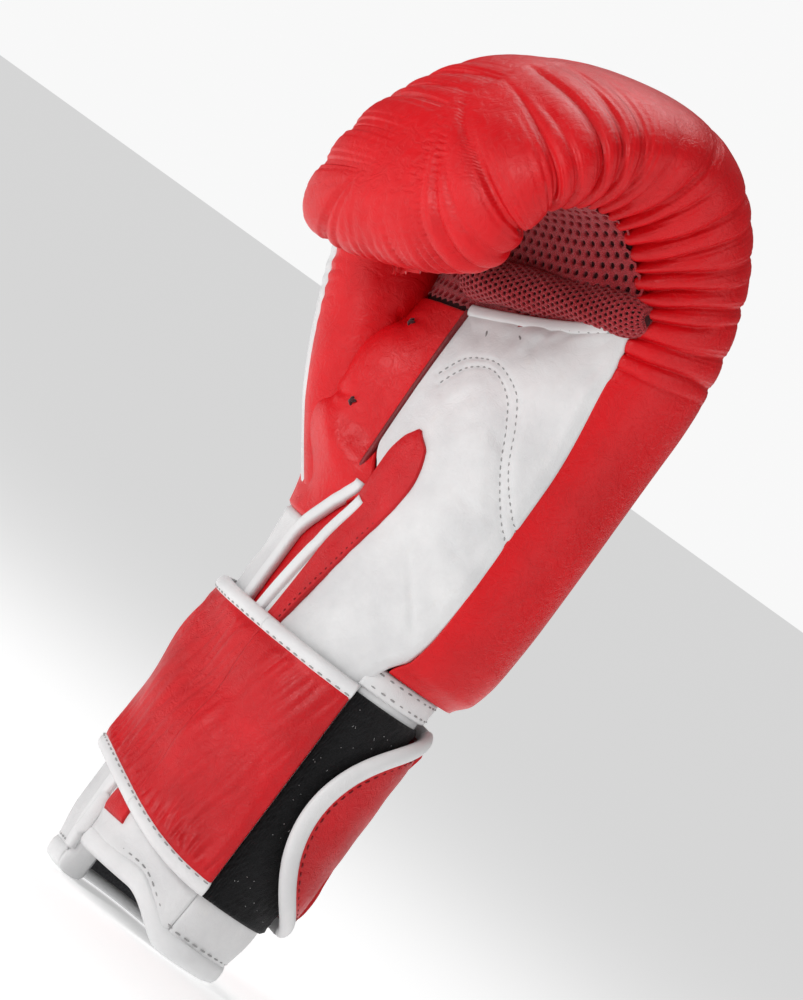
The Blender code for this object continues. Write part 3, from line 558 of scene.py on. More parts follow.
def make_mitt():
    low = np.concatenate([np.linspace(MITT_START, 130, 22), np.linspace(130, PIVOT_Z, 60)[1:]])
    curl = np.linspace(PIVOT_Z, NOTCH_END, 520)[1:]
    tip = NOTCH_END + (LAST - 0.15 - NOTCH_END) * np.sin(np.linspace(0, math.pi / 2, 60)[1:])
    stations = np.concatenate([low, curl, tip])
    u = np.linspace(0, 1, 160)
    share = u - 0.055 * np.sin(4 * math.pi * u) / (2 * math.pi) * 2
    angle = pinky_edge(stations)[:, None] + (thumb_edge(stations) - pinky_edge(stations))[:, None] * share
    below = np.concatenate([[NOTCH_END], tip])[:, None]
    gap_angle = mix(thumb_edge(below), pinky_edge(below) + 360, np.linspace(0, 1, 60))
    centre = cavity(np.array(250.0), np.array(90.0))
    pieces = []
    for points in (outer(stations[:, None], angle, "mitt"), outer(below, gap_angle, "mitt")):
        drop, far = gathers(points)
        soft = 0.0003 * noise(points, 0.070, 3) * ease(far / 0.03)
        pieces.append(points - away_from(points, centre) * (drop + edge_sink(far, 0.0026) - soft)[..., None])
    back, under = pieces
    (rows, cols), (under_rows, under_cols) = back.shape[:2], under.shape[:2]
    points = np.concatenate([back.reshape(-1, 3), under.reshape(-1, 3)])
    faces = grid_faces(rows, cols) + grid_faces(under_rows, under_cols, start=rows * cols)
    last = rows * cols + (under_rows - 1) * under_cols
    faces.append([rows * cols - 1 - k for k in range(cols)] + [last + k for k in range(1, under_cols - 1)])
    obj = weld(to_object("mitt_leather", points, faces, RED), 1.2e-4)
    skirt(obj)
    own(obj, "red_leather", "mitt_shell", "knuckle_pad", "fingertip_pad", fill=0.9)


def skirt(obj, turns=((0.0014, 0.0), (0.0030, 0.0006), (0.0045, 0.0016))):
    """Turns every open edge of a shell inwards, as leather is turned at a seam."""
    bm = bmesh.new()
    bm.from_mesh(obj.data)
    bmesh.ops.recalc_face_normals(bm, faces=bm.faces)
    bm.normal_update()
    edges = [e for e in bm.edges if len(e.link_faces) == 1]
    centre = {}
    for e in edges:
        middle = sum((v.co for v in e.link_faces[0].verts), Vector()) / len(e.link_faces[0].verts)
        for v in e.verts:
            centre.setdefault(v, []).append(middle)
    home = {v: (v.co.copy(), v.normal.copy(), sum(c, Vector()) / len(c)) for v, c in centre.items()}
    trace = {v: v for v in home}
    for depth, back in turns:
        result = bmesh.ops.extrude_edge_only(bm, edges=edges)
        fresh = [g for g in result["geom"] if isinstance(g, bmesh.types.BMVert)]
        edges = [g for g in result["geom"] if isinstance(g, bmesh.types.BMEdge)
                 and all(v in set(fresh) for v in g.verts)]
        following = {}
        old = {tuple(v.co): v for v in trace}
        for v in fresh:
            source = trace[old[tuple(v.co)]]
            co, normal, inside = home[source]
            v.co = co - normal * depth + (inside - co).normalized() * back
            following[v] = source
        trace = following
    bmesh.ops.recalc_face_normals(bm, faces=bm.faces)
    bm.to_mesh(obj.data)
    bm.free()
    obj.data.shade_smooth()


# ---------------------------------------------------------------- lines and patches on the surface

VIEW_TURN, VIEW_TILT = math.radians(52), math.radians(2)
ACROSS = np.array((math.cos(VIEW_TURN), math.sin(VIEW_TURN), 0.0))
TOWARDS = np.array((math.sin(VIEW_TURN) * math.cos(VIEW_TILT), -math.cos(VIEW_TURN) * math.cos(VIEW_TILT),
                    math.sin(VIEW_TILT)))
UPRIGHT = np.cross(TOWARDS, ACROSS)
WHITE_ROWS, RED_ROWS = [], []


def front(points):
    """Across and up in mm from the hand's axis, seen from the palm's little-finger side."""
    flat = points - SHIFT
    return np.stack([flat @ ACROSS, flat @ UPRIGHT], axis=-1) / MM


def spline(points, count):
    """Smooth path through the given points."""
    points = np.array(points, float)
    at = np.linspace(0, len(points) - 1, count)
    return np.stack([curve(*enumerate(points[:, k]))(at) for k in range(points.shape[1])], axis=-1)


def near_path(flat, path):
    """Distance from each flat point to a path."""
    best = np.full(flat.shape[:-1], 1e9)
    for a, b in zip(path[:-1], path[1:]):
        way = b - a
        t = np.clip((flat - a) @ way / max(way @ way, 1e-9), 0, 1)
        best = np.minimum(best, np.linalg.norm(flat - a - t[..., None] * way, axis=-1))
    return best


def crease(flat, points, width, depth):
    """A groove that fades at both ends, with soft banks, as a height in metres."""
    path = spline(points, 24)
    far = near_path(flat, path)
    ends = np.minimum(np.linalg.norm(flat - path[0], axis=-1), np.linalg.norm(flat - path[-1], axis=-1))
    fade = 0.25 + 0.75 * ease(ends / 9)
    bank = 0.45 * np.exp(-((far - 2.4 * width) / (1.6 * width)) ** 2)
    return depth * MM * fade * (bank - np.exp(-(far / width) ** 2))


def clustered(count, pull=0.11):
    u = np.linspace(0, 1, count)
    return u - pull * np.sin(2 * math.pi * u)


def trace(station, angle, outside=0.0, part="palm"):
    """Path and normals along a line on the surface."""
    station, angle = np.broadcast_arrays(np.asarray(station, float), np.asarray(angle, float))
    point = outer(station, angle, part)
    turn = outer(station, angle + 0.4, part) - outer(station, angle - 0.4, part)
    rise = outer(station + 0.4, angle, part) - outer(station - 0.4, angle, part)
    normal = unit(np.cross(turn, rise))
    return point + normal * outside, normal


def patch(name, stations, left, right, cols, material, slot_name, *nodes, fill=None, outside=0.0, thick=0.0016,
          roll=0.0013, relief=None, part="palm"):
    """Piece of leather on the surface between two angle functions of the station, its edges rolled under.

    Gives back its outer surface and that surface's normals.
    """
    stations = np.asarray(stations, float)
    if stations.ndim == 1:
        stations = np.broadcast_to(stations[:, None], (len(stations), cols))
    angle = left(stations) + (right(stations) - left(stations)) * clustered(cols)
    base = outer(stations, angle, part)
    normal = outward(base)
    down, over = lengths(base, 0), lengths(base, 1)
    edge = np.minimum(np.minimum(down, down[-1:] - down), np.minimum(over, over[:, -1:] - over))
    height = outside - edge_sink(edge, roll)
    if relief is not None:
        height = height + relief(base, edge)
    top = base + normal * height[..., None]
    own(slab(name, top, base + normal * (outside - thick), material), slot_name, *nodes, fill=fill)
    return top, normal


def spot(targets, points, normals):
    """Surface points and normals that the front view shows at these places."""
    facing = (normals @ TOWARDS).reshape(-1) > 0.02
    flat, cloud = front(points).reshape(-1, 2)[facing], points.reshape(-1, 3)[facing]
    around = normals.reshape(-1, 3)[facing]
    places, ways = [], []
    for target in targets:
        gap = np.linalg.norm(flat - target, axis=1)
        near = np.argpartition(gap, 5)[:5]
        weight = 1 / (gap[near] ** 2 + 0.01)
        places.append(weight @ cloud[near] / weight.sum())
        ways.append(weight @ around[near])
    return np.array(places), unit(np.array(ways))


def describe(nodes, fill):
    """Hides the design nodes that a piece stands for; fill, how full its padding is, is not used."""
    if nodes:
        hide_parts(*nodes)


def own(obj, slot_name, *nodes, body="glove", fill=None):
    """Puts a described piece on its body."""
    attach(obj, body)
    describe(nodes, fill)


def cut_from(points):
    """Measures, on its modelled surface, the flat cloth that a sheet is cut from; the result is not kept."""
    flat = (float(lengths(points, 1)[:, -1].max()), float(lengths(points, 0)[-1].max()))


def binding(name, line, size, material, slot_name, node):
    """Folded binding along a line. size is its width, its height and its depth below the line."""
    own(sweep(name, *line, half_round(*size), material), slot_name, node)


def along(*parts):
    """Even runs of stations: (start, end, count) triples joined end to end."""
    runs = [np.linspace(a, b, n) for a, b, n in parts]
    return np.concatenate([runs[0]] + [r[1:] for r in runs[1:]])


# ---------------------------------------------------------------- palm and finger mesh

PAD_LINE = ((-24, 190), (-20, 199), (-11, 203.5), (-2, 200), (4, 192), (10, 180.5), (15, 174), (21, 168),
            (27, 163))
PAD_LINE_LOW = ((-22, 188), (-18, 197), (-11, 201), (-3.5, 197.5), (2, 190), (8, 179), (13, 172), (19, 165),
                (25, 160))
PALM_CREASES = ((((-3, 232), (-4, 222), (-6, 210)), 1.2, 0.5), (((6, 238), (2, 226), (-4, 214)), 1.5, 0.5),
                (((12, 232), (14, 222), (12, 212)), 1.3, 0.3), (((-14, 226), (-12, 216), (-12, 206)), 1.2, 0.4),
                (((-3, 145), (4, 138), (12, 129), (19, 120)), 1.3, 0.5), (((0, 128), (5, 120)), 1.0, 0.4),
                (((-1, 168), (8, 164), (18, 165)), 1.2, 0.35), (((6, 152), (18, 149)), 1.0, 0.35),
                (((-4, 186), (6, 184), (12, 176)), 1.8, 0.35), (((-12, 196), (-13, 186), (-10, 178)), 1.6, 0.4))


def palm_relief(points, edge):
    flat = front(points)
    height = (0.00035 * noise(points, 0.030, 11) + 0.00010 * noise(points, 0.009, 12)) * ease(edge / 0.006)
    for line in (PAD_LINE, PAD_LINE_LOW):
        far = near_path(flat, spline(line, 60))
        height = height - 0.00035 * np.exp(-(far / 0.8) ** 2)
    far = near_path(flat, spline(PAD_LINE_LOW, 60))
    pad = np.exp(-(((flat[..., 0] + 4) / 20) ** 2 + ((flat[..., 1] - 176) / 24) ** 2))
    height = height + 0.0016 * pad * ease(far / 6) + 0.0004 * np.exp(-((far - 5) / 3.5) ** 2) * pad
    for line, width, depth in PALM_CREASES:
        height = height + crease(flat, line, width, depth)
    return height + 0.0005 * np.exp(-((edge - 0.004) / 0.0025) ** 2)


def palm_left(station):
    low = slit_palm(station)
    return np.where(station > SLIT_TOP, mix(low, THUMB_SEAM + 0.6, ease((station - SLIT_TOP) / 15)), low)


def palm_right(station):
    return 361.4 + pinky_edge(station)


def make_palm():
    top = palm_top(mix(palm_left(np.array(200.0)), 330, clustered(200)))
    stations = FIRST_ROW + (top - FIRST_ROW)[None] * clustered(340, 0.05)[:, None]
    skin = patch("palm_leather", stations, palm_left, palm_right, 200, WHITE, "white_leather", "palm_panel",
                 "palm_foam", fill=0.85, relief=palm_relief)
    for line in (PAD_LINE, PAD_LINE_LOW):
        sew(WHITE_ROWS, spot(spline(line, 160), *skin), 0.0016, 0.0009, 0.00028)
    for a, b in (((-19.9, 210), (-19, 207.6)), ((-11.3, 214.2), (-9.2, 212.9))):
        sew(WHITE_ROWS, spot(np.linspace(a, b, 8), *skin), 0.0024, 0.0002, 0.0004)
    turn = np.linspace(THUMB_SEAM + 2, 322, 120)
    sew(WHITE_ROWS, trace(palm_top(turn) - 4.4, turn, 0.0006), 0.0020, 0.0012)
    up = along((24, PALM_TOP[1] - 2, 260))
    sew(RED_ROWS, trace(up, pinky_edge(up) + 360 - 1.3 - 0.9, -0.0009), 0.0009, 0.0024)
    turn = np.linspace(THUMB_SEAM + 0.5, 324.2, 90)
    binding("palm_top_fold", trace(palm_top(turn) - 1.3, turn), (0.0038, 0.0011, 0.0012), TRIM, "white_leather",
            "palm_top_piping")


def mesh_maps():
    """Tables that turn lengths along and across the mesh into stations and angles."""
    station = np.linspace(206, NOTCH_END + 6, 160)
    angle = np.linspace(195, 345, 160)
    grid = outer(station[:, None], angle[None, :])
    over = lengths(grid, 1)
    middle = 75
    return station, angle, over - over[:, middle:middle + 1], lengths(grid, 0)[:, middle]


def perforate(name, cells, place, radius, cell, deep, material):
    """Skin of six-sided cells, each with a round hole; place(u, v, depth) gives the surface."""
    corners = 12
    turn = np.arange(corners) * math.pi / 6
    ring = np.stack([np.cos(turn), np.sin(turn)], axis=1)
    hexagon = ring * np.where(np.arange(corners) % 2 == 1, 2 / math.sqrt(3), 1.0)[:, None] * cell / 2
    levels = ((None, 0.0), (radius * 1.22, 0.0), (radius * 1.04, 0.00016), (radius * 0.98, deep))
    points, faces = [], []
    for n, (u, v) in enumerate(cells):
        for size, depth in levels:
            loop = hexagon if size is None else ring * size
            points.append(place(u + loop[:, 0], v + loop[:, 1], np.full(corners, depth)))
        faces += grid_faces(len(levels), corners, start=n * len(levels) * corners, ring=True)
    return weld(to_object(name, np.concatenate(points), faces, material), 6e-5)


def hexagons(u0, u1, v0, v1, pitch):
    rows = []
    for k, v in enumerate(np.arange(v0, v1, pitch * math.sqrt(3) / 2)):
        rows += [(u, v) for u in np.arange(u0 + (k % 2) * pitch / 2, u1, pitch)]
    return np.array(rows)


def make_mesh():
    station, angle, over, down = mesh_maps()

    def locate(u, v):
        at = np.interp(v, down, station)
        k = np.clip(np.searchsorted(station, at) - 1, 0, len(station) - 2)
        t = (at - station[k]) / (station[k + 1] - station[k])
        turn = np.array([np.interp(a, mix(over[i], over[i + 1], s), angle) for a, i, s in zip(u, k, t)])
        return at, turn

    def place(u, v, depth):
        at, turn = locate(u, v)
        point, normal = trace(at, turn)
        wave = 0.0005 * noise(point, 0.022, 21)
        return point + normal * (wave - depth)[..., None]

    cells = hexagons(-0.062, 0.062, down[0], down[-1], MESH_PITCH)
    at, turn = locate(cells[:, 0], cells[:, 1])
    keep = ((at > palm_top(turn) - 3) & (at < NOTCH_END + 3)
            & (turn > thumb_edge(at) - 2.5) & (turn < pinky_edge(at) + 362.5))
    own(perforate("finger_mesh_knit", cells[keep], place, 0.00098, MESH_PITCH, 0.0011, MESH), "red_mesh",
        "finger_mesh")
    rows = np.linspace(0, 1, 90)[:, None]
    share = np.linspace(0, 1, 60)[None]
    stations = mix(palm_top(mix(THUMB_SEAM - 63, 330, share)) - 3, NOTCH_END + 2, rows)
    angles = thumb_edge(stations) - 1.5 + (pinky_edge(stations) + 363 - thumb_edge(stations)) * share
    point, normal = trace(stations, angles)
    wave = (0.0005 * noise(point, 0.022, 21))[..., None]
    back = slab("mesh_backing", point + normal * (wave - 0.0011), point + normal * (wave - 0.0016), BACKING)
    own(back, "red_mesh")
    cut_from(point)


def make_grip():
    """Soft bar across the fingertips, in the same knit with finer holes."""
    start = np.array((-0.0105, -0.0370, 0.2200)) + SHIFT
    end = np.array((0.053, -0.0195, 0.2430)) + SHIFT
    way = unit(end - start)
    side = unit(np.cross(way, (0, 0, 1.0)))
    up = np.cross(side, way)
    long, radius = float(np.linalg.norm(end - start)), GRIP_RADIUS
    run = np.linspace(0, 1, 120)
    round_end = np.sqrt(np.clip(1 - (1 - np.minimum(np.minimum(run, 1 - run) / 0.13, 1)) ** 2, 0, 1))
    size = radius * (0.30 + 0.70 * round_end)
    ridge = lengths(np.stack([run * long, size, 0 * run], axis=1), 0)

    def place(u, v, depth):
        at = np.interp(v, ridge, run)
        r = np.interp(at, run, size) - depth + 0.0003 * np.sin(u / radius * 3 + at * 14)
        a = u / radius
        centre = start + way * (at * long)[:, None]
        return centre + (side * np.cos(a)[:, None] + up * np.sin(a)[:, None]) * r[:, None]

    count = 21
    cell = 2 * math.pi * radius / count
    rows = int(ridge[-1] / (cell * math.sqrt(3) / 2))
    cells = [(j * cell + (k % 2) * cell / 2, (k + 0.5) * ridge[-1] / rows)
             for k in range(rows) for j in range(count)]
    own(perforate("grip_roll_knit", np.array(cells), place, 0.00060, cell, 0.0008, MESH), "red_mesh", "grip_bar",
        fill=0.95)
    turn = np.linspace(0, 2 * math.pi, 25)[:-1]
    core = [place(turn * radius, np.full(24, v), np.full(24, 0.0007)) for v in np.linspace(0, ridge[-1], 40)]
    own(capped("grip_roll_core", np.stack(core), BACKING), "red_mesh")


# ---------------------------------------------------------------- thumb

THUMB_WAY = np.array((0.895, -0.447, 0.0))
thumb_axes = [curve(*enumerate(values)) for values in (
    (-22, -36, -44, -49, -54, -58), (-8, -17, -24, -29, -34, -38), (140, 165, 184, 200, 218, 240))]
thumb_half = curve((0, 17), (0.25, 20), (0.6, 20), (0.85, 17), (1, 15))
thumb_flat = curve((0, 15), (0.25, 18), (0.6, 18), (0.85, 16), (1, 14))
TUFTS = ((-40, 198), (-40, 168))


def tuft_dimples(points):
    """Height of the two stitched tufts' dimples, with small rays of pulled leather."""
    flat, height = front(points), 0.0
    for n, middle in enumerate(TUFTS):
        gap = flat - np.array(middle)
        far = np.linalg.norm(gap, axis=-1)
        rays = np.cos(5 * np.arctan2(gap[..., 1], gap[..., 0]) + n) * np.exp(-(far / 8) ** 2) * ease(far / 3)
        height = height + 0.00035 * rays - 0.0024 * np.exp(-(far / 3.4) ** 1.3)
    return height


def thumb_centre(q):
    return np.stack([axis(q * 5) for axis in thumb_axes], axis=-1) * MM + SHIFT


def thumb_point(q, theta):
    q, theta = np.broadcast_arrays(q, theta)
    centre = thumb_centre(q)
    way = unit(thumb_centre(np.minimum(1.0, q + 0.02)) - thumb_centre(np.maximum(0.0, q - 0.02)))
    across = unit(np.cross(THUMB_WAY, way))
    shrink = np.sqrt(np.clip(1 - np.maximum(0, (q - 0.80) / 0.20) ** 2, 0, 1))
    a = np.radians(theta)
    half = (thumb_half(q) * MM * shrink * np.cos(a))[..., None]
    flat = (thumb_flat(q) * MM * shrink * np.sin(a))[..., None]
    return centre + THUMB_WAY * half + across * flat


def thumb_panel(name, start, end, material, slot_name, *nodes, tufted):
    q = np.sin(np.linspace(0.02, math.pi / 2, 150))
    q = q[q < 0.9995]
    theta = start + (end - start) * clustered(130)
    base = thumb_point(q[:, None], theta[None])
    normal = away_from(base, thumb_centre(q)[:, None])
    over = lengths(base, 1)
    edge = np.minimum(over, over[:, -1:] - over)
    puckers = 0.00030 * np.sin(lengths(base, 0)[:, :1] / 0.0042 * 2 * math.pi + 2 * noise(base, 0.02, 5))
    height = (0.0004 * noise(base, 0.028, 31) * ease(edge / 0.006) - edge_sink(edge, 0.0014)
              + puckers * np.exp(-(edge / 0.007) ** 2) * ease((q[:, None] - 0.35) / 0.3))
    if tufted:
        height = height + tuft_dimples(base)
    top = base + normal * height[..., None]
    own(slab(name, top, base - normal * 0.0017, material, flip=True), slot_name, *nodes, fill=0.9)
    return top, normal


def make_thumb():
    inner = thumb_panel("thumb_inner_leather", -100, 84, RED, "red_leather", "thumb_inner_panel", "thumb_foam",
                        tufted=True)
    thumb_panel("thumb_outer_leather", 84.5, 259.5, WHITE, "white_leather", "thumb_outer_panel", "thumb_lining",
                tufted=False)
    for theta in (-100.2, 84.2):
        q = np.linspace(0.02, 0.985, 200)
        path = thumb_point(q, np.full(200, theta))
        way = unit(path - thumb_centre(q))
        sew(RED_ROWS, (path - way * 0.0011, way), 0.0013, 0.0017)
    up = along((150, 214, 80))
    # the piping's dark red is painted shade of the seam gap
    binding("thumb_seam_piping", trace(up, np.full(80, THUMB_SEAM + 0.3), 0.0001), (0.0020, 0.0011, 0.0006),
            SEAM_SHADE_RED, "red_leather", "thumb_piping")

    def right(station):
        return np.where(station < 165, mix(slit_thumb(station), THUMB_SEAM, ease((station - SLIT_TOP) / 15)),
                        THUMB_SEAM)

    def swell(points, edge):
        over = lengths(points, 1)
        height = points[..., 2] / MM
        return (0.0095 * ease(over / 0.016) * ease((over[:, -1:] - over) / 0.020) * ease((height - 138) / 26)
                * (1 - ease((height - 182) / 30))
                + 0.0003 * noise(points, 0.02, 33) + tuft_dimples(points))

    web = patch("thumb_web_leather", along((131, 214, 90)), thumb_edge, right, 70, RED, "red_leather",
                "thumb_web_panel", fill=0.8, roll=0.0008, relief=swell)

    knots = []
    for place in TUFTS:
        found = [spot(np.array([place]), *surface) for surface in (inner, web)]
        middle, way = max(found, key=lambda each: float(each[0][0] @ np.array(TOWARDS)))
        side = unit(np.cross(way[0], (0, 0, 1.0)))
        for turn in (0.5, 1.9):
            line = side * math.cos(turn) + np.cross(way[0], side) * math.sin(turn)
            path = middle[0] + line * np.linspace(-0.0018, 0.0018, 6)[:, None] + way[0] * 0.0003
            sew(knots, (path, np.repeat(way, 6, axis=0)), 0.0033, 0.0001, 0.0007)
    own(threads("thumb_tufts", knots, KNOT), "red_leather")


# ---------------------------------------------------------------- cuff

def cuff_relief(points, edge):
    return 0.0003 * noise(points, 0.025, 41) * ease(edge / 0.006)


def constant(value):
    return lambda station: np.full_like(station, value)


def make_cuff():
    patch("cuff_back_leather", along((FIRST_ROW, 106, 90)), lambda s: pinky_edge(s) + 0.8,
          lambda s: thumb_edge(s) - 0.4, 90, WHITE, "white_leather", "cuff_back_panel", "cuff_foam", fill=0.8,
          relief=cuff_relief, part="cuff")
    patch("cuff_thumb_leather", along((FIRST_ROW, 131, 100)), lambda s: thumb_edge(s) + 0.6, slit_thumb, 90, WHITE,
          "white_leather", "cuff_thumb_panel", fill=0.8, relief=cuff_relief)
    patch("slit_gusset_leather", along((5, 153, 100)), lambda s: slit_thumb(s) - 2, lambda s: slit_palm(s) + 5, 20,
          STRAP_RED, "red_leather", "slit_gusset", outside=-0.0018, thick=0.0010, roll=0.0003)
    up = along((8, 147, 120))
    binding("slit_palm_binding", trace(up, slit_palm(up) + 0.6, 0.0011), (0.0042, 0.0013, 0.0016), TRIM,
            "white_trim", "slit_binding_palm")
    up = along((8, 151, 120))
    binding("slit_thumb_binding", trace(up, slit_thumb(up) - 2.4, 0.0001), (0.0044, 0.0013, 0.0016), TRIM,
            "white_trim", "slit_binding_thumb")
    make_leaf()

    patch("collar_leather", along((102.2, 110.4, 24)), constant(-26.5), constant(203), 220, TRIM, "white_leather",
          "collar_band", outside=0.0018, thick=0.0024, roll=0.0010,
          relief=lambda p, e: 0.00015 * noise(p, 0.012, 43), part="cuff")
    turn = np.linspace(-22, 202, 300)
    for height in (104.0, 108.6):
        sew(WHITE_ROWS, trace(np.full(300, height), turn, 0.0019, "cuff"), 0.0021, 0.0019)

    patch("loop_panel_pile", along((22, 100, 80)), constant(-24), constant(128), 150, LOOPS, "black_pile",
          "loop_panel", outside=0.0014, thick=0.0018, roll=0.0006,
          relief=lambda p, e: 0.00022 * noise(p, 0.0011, 45) + 0.0001 * noise(p, 0.003, 46), part="cuff")
    lint = np.random.default_rng(3)
    rows = []
    for _ in range(46):
        z, a = lint.uniform(26, 96), lint.uniform(-23, 20)
        line = trace(z + np.linspace(0, lint.uniform(-1, 1), 6), a + np.linspace(0, 0.7, 6), 0.0017, "cuff")
        sew(rows, line, lint.uniform(0.0002, 0.0005), 0.0001, 0.00010)
    own(threads("loop_panel_lint", rows, LINT), "black_pile")
    make_mouth()
    make_lining()


def make_leaf():
    """Red patch over the top of the wrist slit, stitched along both sides."""
    right_x = curve((14, 3), (40, 5), (102, 7), (130, 14), (161, 22), (170, 19), (175, 12), (424, 12))
    left_x = curve((14, -9), (40, -5), (102, 0), (130, 2.5), (153, 4), (163, 4.5), (170, 7), (175, 11), (424, 11))

    def left(station):
        return angle_at_x(station, left_x(station))

    def right(station):
        return angle_at_x(station, right_x(station))

    patch("leaf_patch_leather", along((14, 140, 70), (140, 174.3, 60)), left, right, 26, STRAP_RED, "red_leather",
          "leaf_patch", outside=0.0011, thick=0.0020, roll=0.0006, relief=palm_relief)
    up = along((20, 170, 140), (170, 173.4, 20))
    sew(RED_ROWS, trace(up, right(up) - 1.1, 0.0013), 0.0011, 0.0012, 0.00024)
    up = along((154, 173.4, 30))
    sew(RED_ROWS, trace(up, left(up) + 1.1, 0.00125), 0.0011, 0.0012, 0.00024)


def make_mouth():
    """Binding folded round the cuff's lower edge, from one side of the slit to the other."""
    turn = np.linspace(slit_palm(np.array(0.0)), slit_thumb(np.array(0.0)) + 360, 420)
    zero = np.zeros_like(turn)
    out, inside = outer(zero + 3, turn), cavity(zero + 3, turn)
    inward = unit(inside - out)
    wall = np.linalg.norm(inside - out, axis=-1)
    wave = 0.00025 * noise(out, 0.015, 51)
    rise = lift(zero, turn)
    loops = []
    outside = ((-0.0002, 7.4), (-0.0009, 7.0), (-0.00135, 5.6), (-0.00140, 4.0), (-0.0012, 2.2), (-0.0005, 0.9),
               (0.0016, 0.1))
    lining_side = ((-0.0016, 0.1), (0.0005, 0.9), (0.0012, 2.4), (0.0008, 3.4))
    for start, points in ((-wave, outside), (wall, lining_side)):
        for reach, height in points:
            place = out + inward * (start + reach)[:, None]
            place[:, 2] = height * MM + rise
            loops.append(place)
    own(weld(capped("mouth_edge_binding", np.stack(loops, axis=1), TRIM)), "white_trim", "mouth_binding")
    sew(WHITE_ROWS, trace(zero + 8.3, turn, 0.0001), 0.0021, 0.0014)


def make_lining():
    stations = np.concatenate([along((FIRST_ROW, 212, 120)), along((213, 423.9, 150))])
    angle = np.linspace(slit_palm(np.array(20.0)) - 360 + 0.2, slit_thumb(np.array(20.0)) - 0.2, 150)
    low = cavity(stations[:, None], angle[None])
    way = unit(outer(stations[:, None], angle[None]) - low)
    obj = slab("lining_cloth", low + way * 0.0011, low, LINING)
    own(obj, "lining_cloth", "hand_lining", "cuff_lining")
    cut_from(low)


# ---------------------------------------------------------------- strap

strap_angles = ROOT_SEAM - np.arange(round(ROOT_SEAM - TAB_TIP) + 1)
strap_line = at_depth(np.full(len(strap_angles), STRAP_LEVEL), strap_angles.astype(float),
                      np.full(len(strap_angles), -STRAP_STANDOFF))
strap_run = lengths(strap_line, 0)
STRAP_LENGTH = strap_run[-1]
PALM_HINGE, THUMB_HINGE, TAB_HINGE = np.interp([ROOT_SEAM - fold for fold in (PALM_FOLD, THUMB_FOLD, TAB_FOLD)],
                                               np.arange(len(strap_run)), strap_run)
TAB_MIDDLE, TAB_HALF = (STRAP_TOP + TAB_LOW) / 2, (STRAP_TOP - TAB_LOW) / 2
TAB_CENTRE = STRAP_LENGTH - TAB_HALF


def standoff_at(arc):
    return mix(STRAP_STANDOFF, TAB_STANDOFF, ease((arc - PALM_HINGE) / (THUMB_HINGE - PALM_HINGE)))


def strap_low(arc):
    near = mix(0.022, 0.036, ease(arc / PALM_HINGE))
    return mix(near, TAB_LOW, ease((arc - THUMB_HINGE) / (TAB_HINGE - THUMB_HINGE)))


def strap_point(arc, out, z):
    """Point on the strap: length from its root, height above its lower face, height above the mouth."""
    arc, out, z = np.broadcast_arrays(arc, out, z)
    share = np.interp(arc, strap_run, np.arange(len(strap_run)))
    angle = ROOT_SEAM - share
    base = outer(np.full_like(angle, STRAP_LEVEL), angle)
    inside = cavity(np.full_like(angle, STRAP_LEVEL), angle)
    point = base - unit(inside - base) * (standoff_at(arc) + out)[..., None]
    point[..., 2] = z
    return point


def strap_path(arc, out, z):
    """Path and normals of a line on the strap."""
    return (strap_point(arc, out, z),
            unit(strap_point(arc, 0.01 + 0 * arc, z) - strap_point(arc, 0 * arc, z)))


# name, start and end along the strap, the two bodies it joins, where its bend starts and ends, design node
SECTIONS = (("root_a", 0.0, 0.038, "glove", "strap_root", 0.0, 0.010, "strap_root"),
            ("root_b", 0.038, 0.0985, "strap_root", "strap_wrap", 0.0662, 0.0862, None),
            ("wrap", 0.0985, 0.1486, "strap_wrap", "strap_back", 0.1108, 0.1308, "strap_wrap"),
            ("back", 0.1486, TAB_START, "strap_back", "strap_tab", 0.1663, 0.1863, "strap_back"))


def bend(obj, section, slot_name, *nodes, fill=None):
    """Bakes a strap piece's placement into its mesh and hides the design nodes it stands for."""
    a, b, start, end = section[3:7]
    describe(nodes, fill)
    tuple(strap_point(start, 0.0, 0.06))
    tuple(strap_point(end, 0.0, 0.06))
    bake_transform(obj)


def strap_relief(arc, z):
    """Wrinkles of the thin leather, drawn in by the stitched edges."""
    flat = np.stack([arc * 1.15, z, 0 * z], axis=-1)
    slow = noise(flat, 0.042, 61)
    folds = noise(np.stack([arc * 1.8 + z * 0.5, z * 0.45, 0 * z], axis=-1), 0.016, 62)
    low_edge = np.exp(-((z - strap_low(arc) - STRAP_EDGE) / 0.011) ** 2)
    tucks = np.sin((arc + 0.0012 * slow) / 0.0036 * 2 * math.pi + 1.5 * folds)
    return 0.0010 * slow + 0.00050 * np.abs(folds) + 0.00035 * tucks * low_edge


def strap_band(name, section, low, high, top, material, wrinkled):
    label, start, end = section[:3]
    arc = np.linspace(start, end, int((end - start) / 0.0006) + 2)[None]
    rows = clustered(90 if wrinkled else 14, 0.10)[:, None]
    z = low(arc) + (high(arc) - low(arc)) * rows
    arc = np.broadcast_to(arc, z.shape)
    edge = np.minimum(z - low(arc), high(arc) - z)
    if label == "root_a":
        edge = np.minimum(edge, arc - start)
    if wrinkled:
        out = top + strap_relief(arc, z) * ease(edge / 0.004) - edge_sink(edge, 0.0008)
    else:
        share = rows * np.ones_like(z)
        out = 0.0004 + (top - 0.0004) * np.clip(4 * share * (1 - share), 0, 1) ** 0.42
        out = out + 0.00012 * noise(np.stack([arc, z, 0 * z], axis=-1), 0.010, 63) * share * (1 - share) * 4
    return slab(name, strap_point(arc, out, z), strap_point(arc, 0.0 * out, z), material, flip=True)


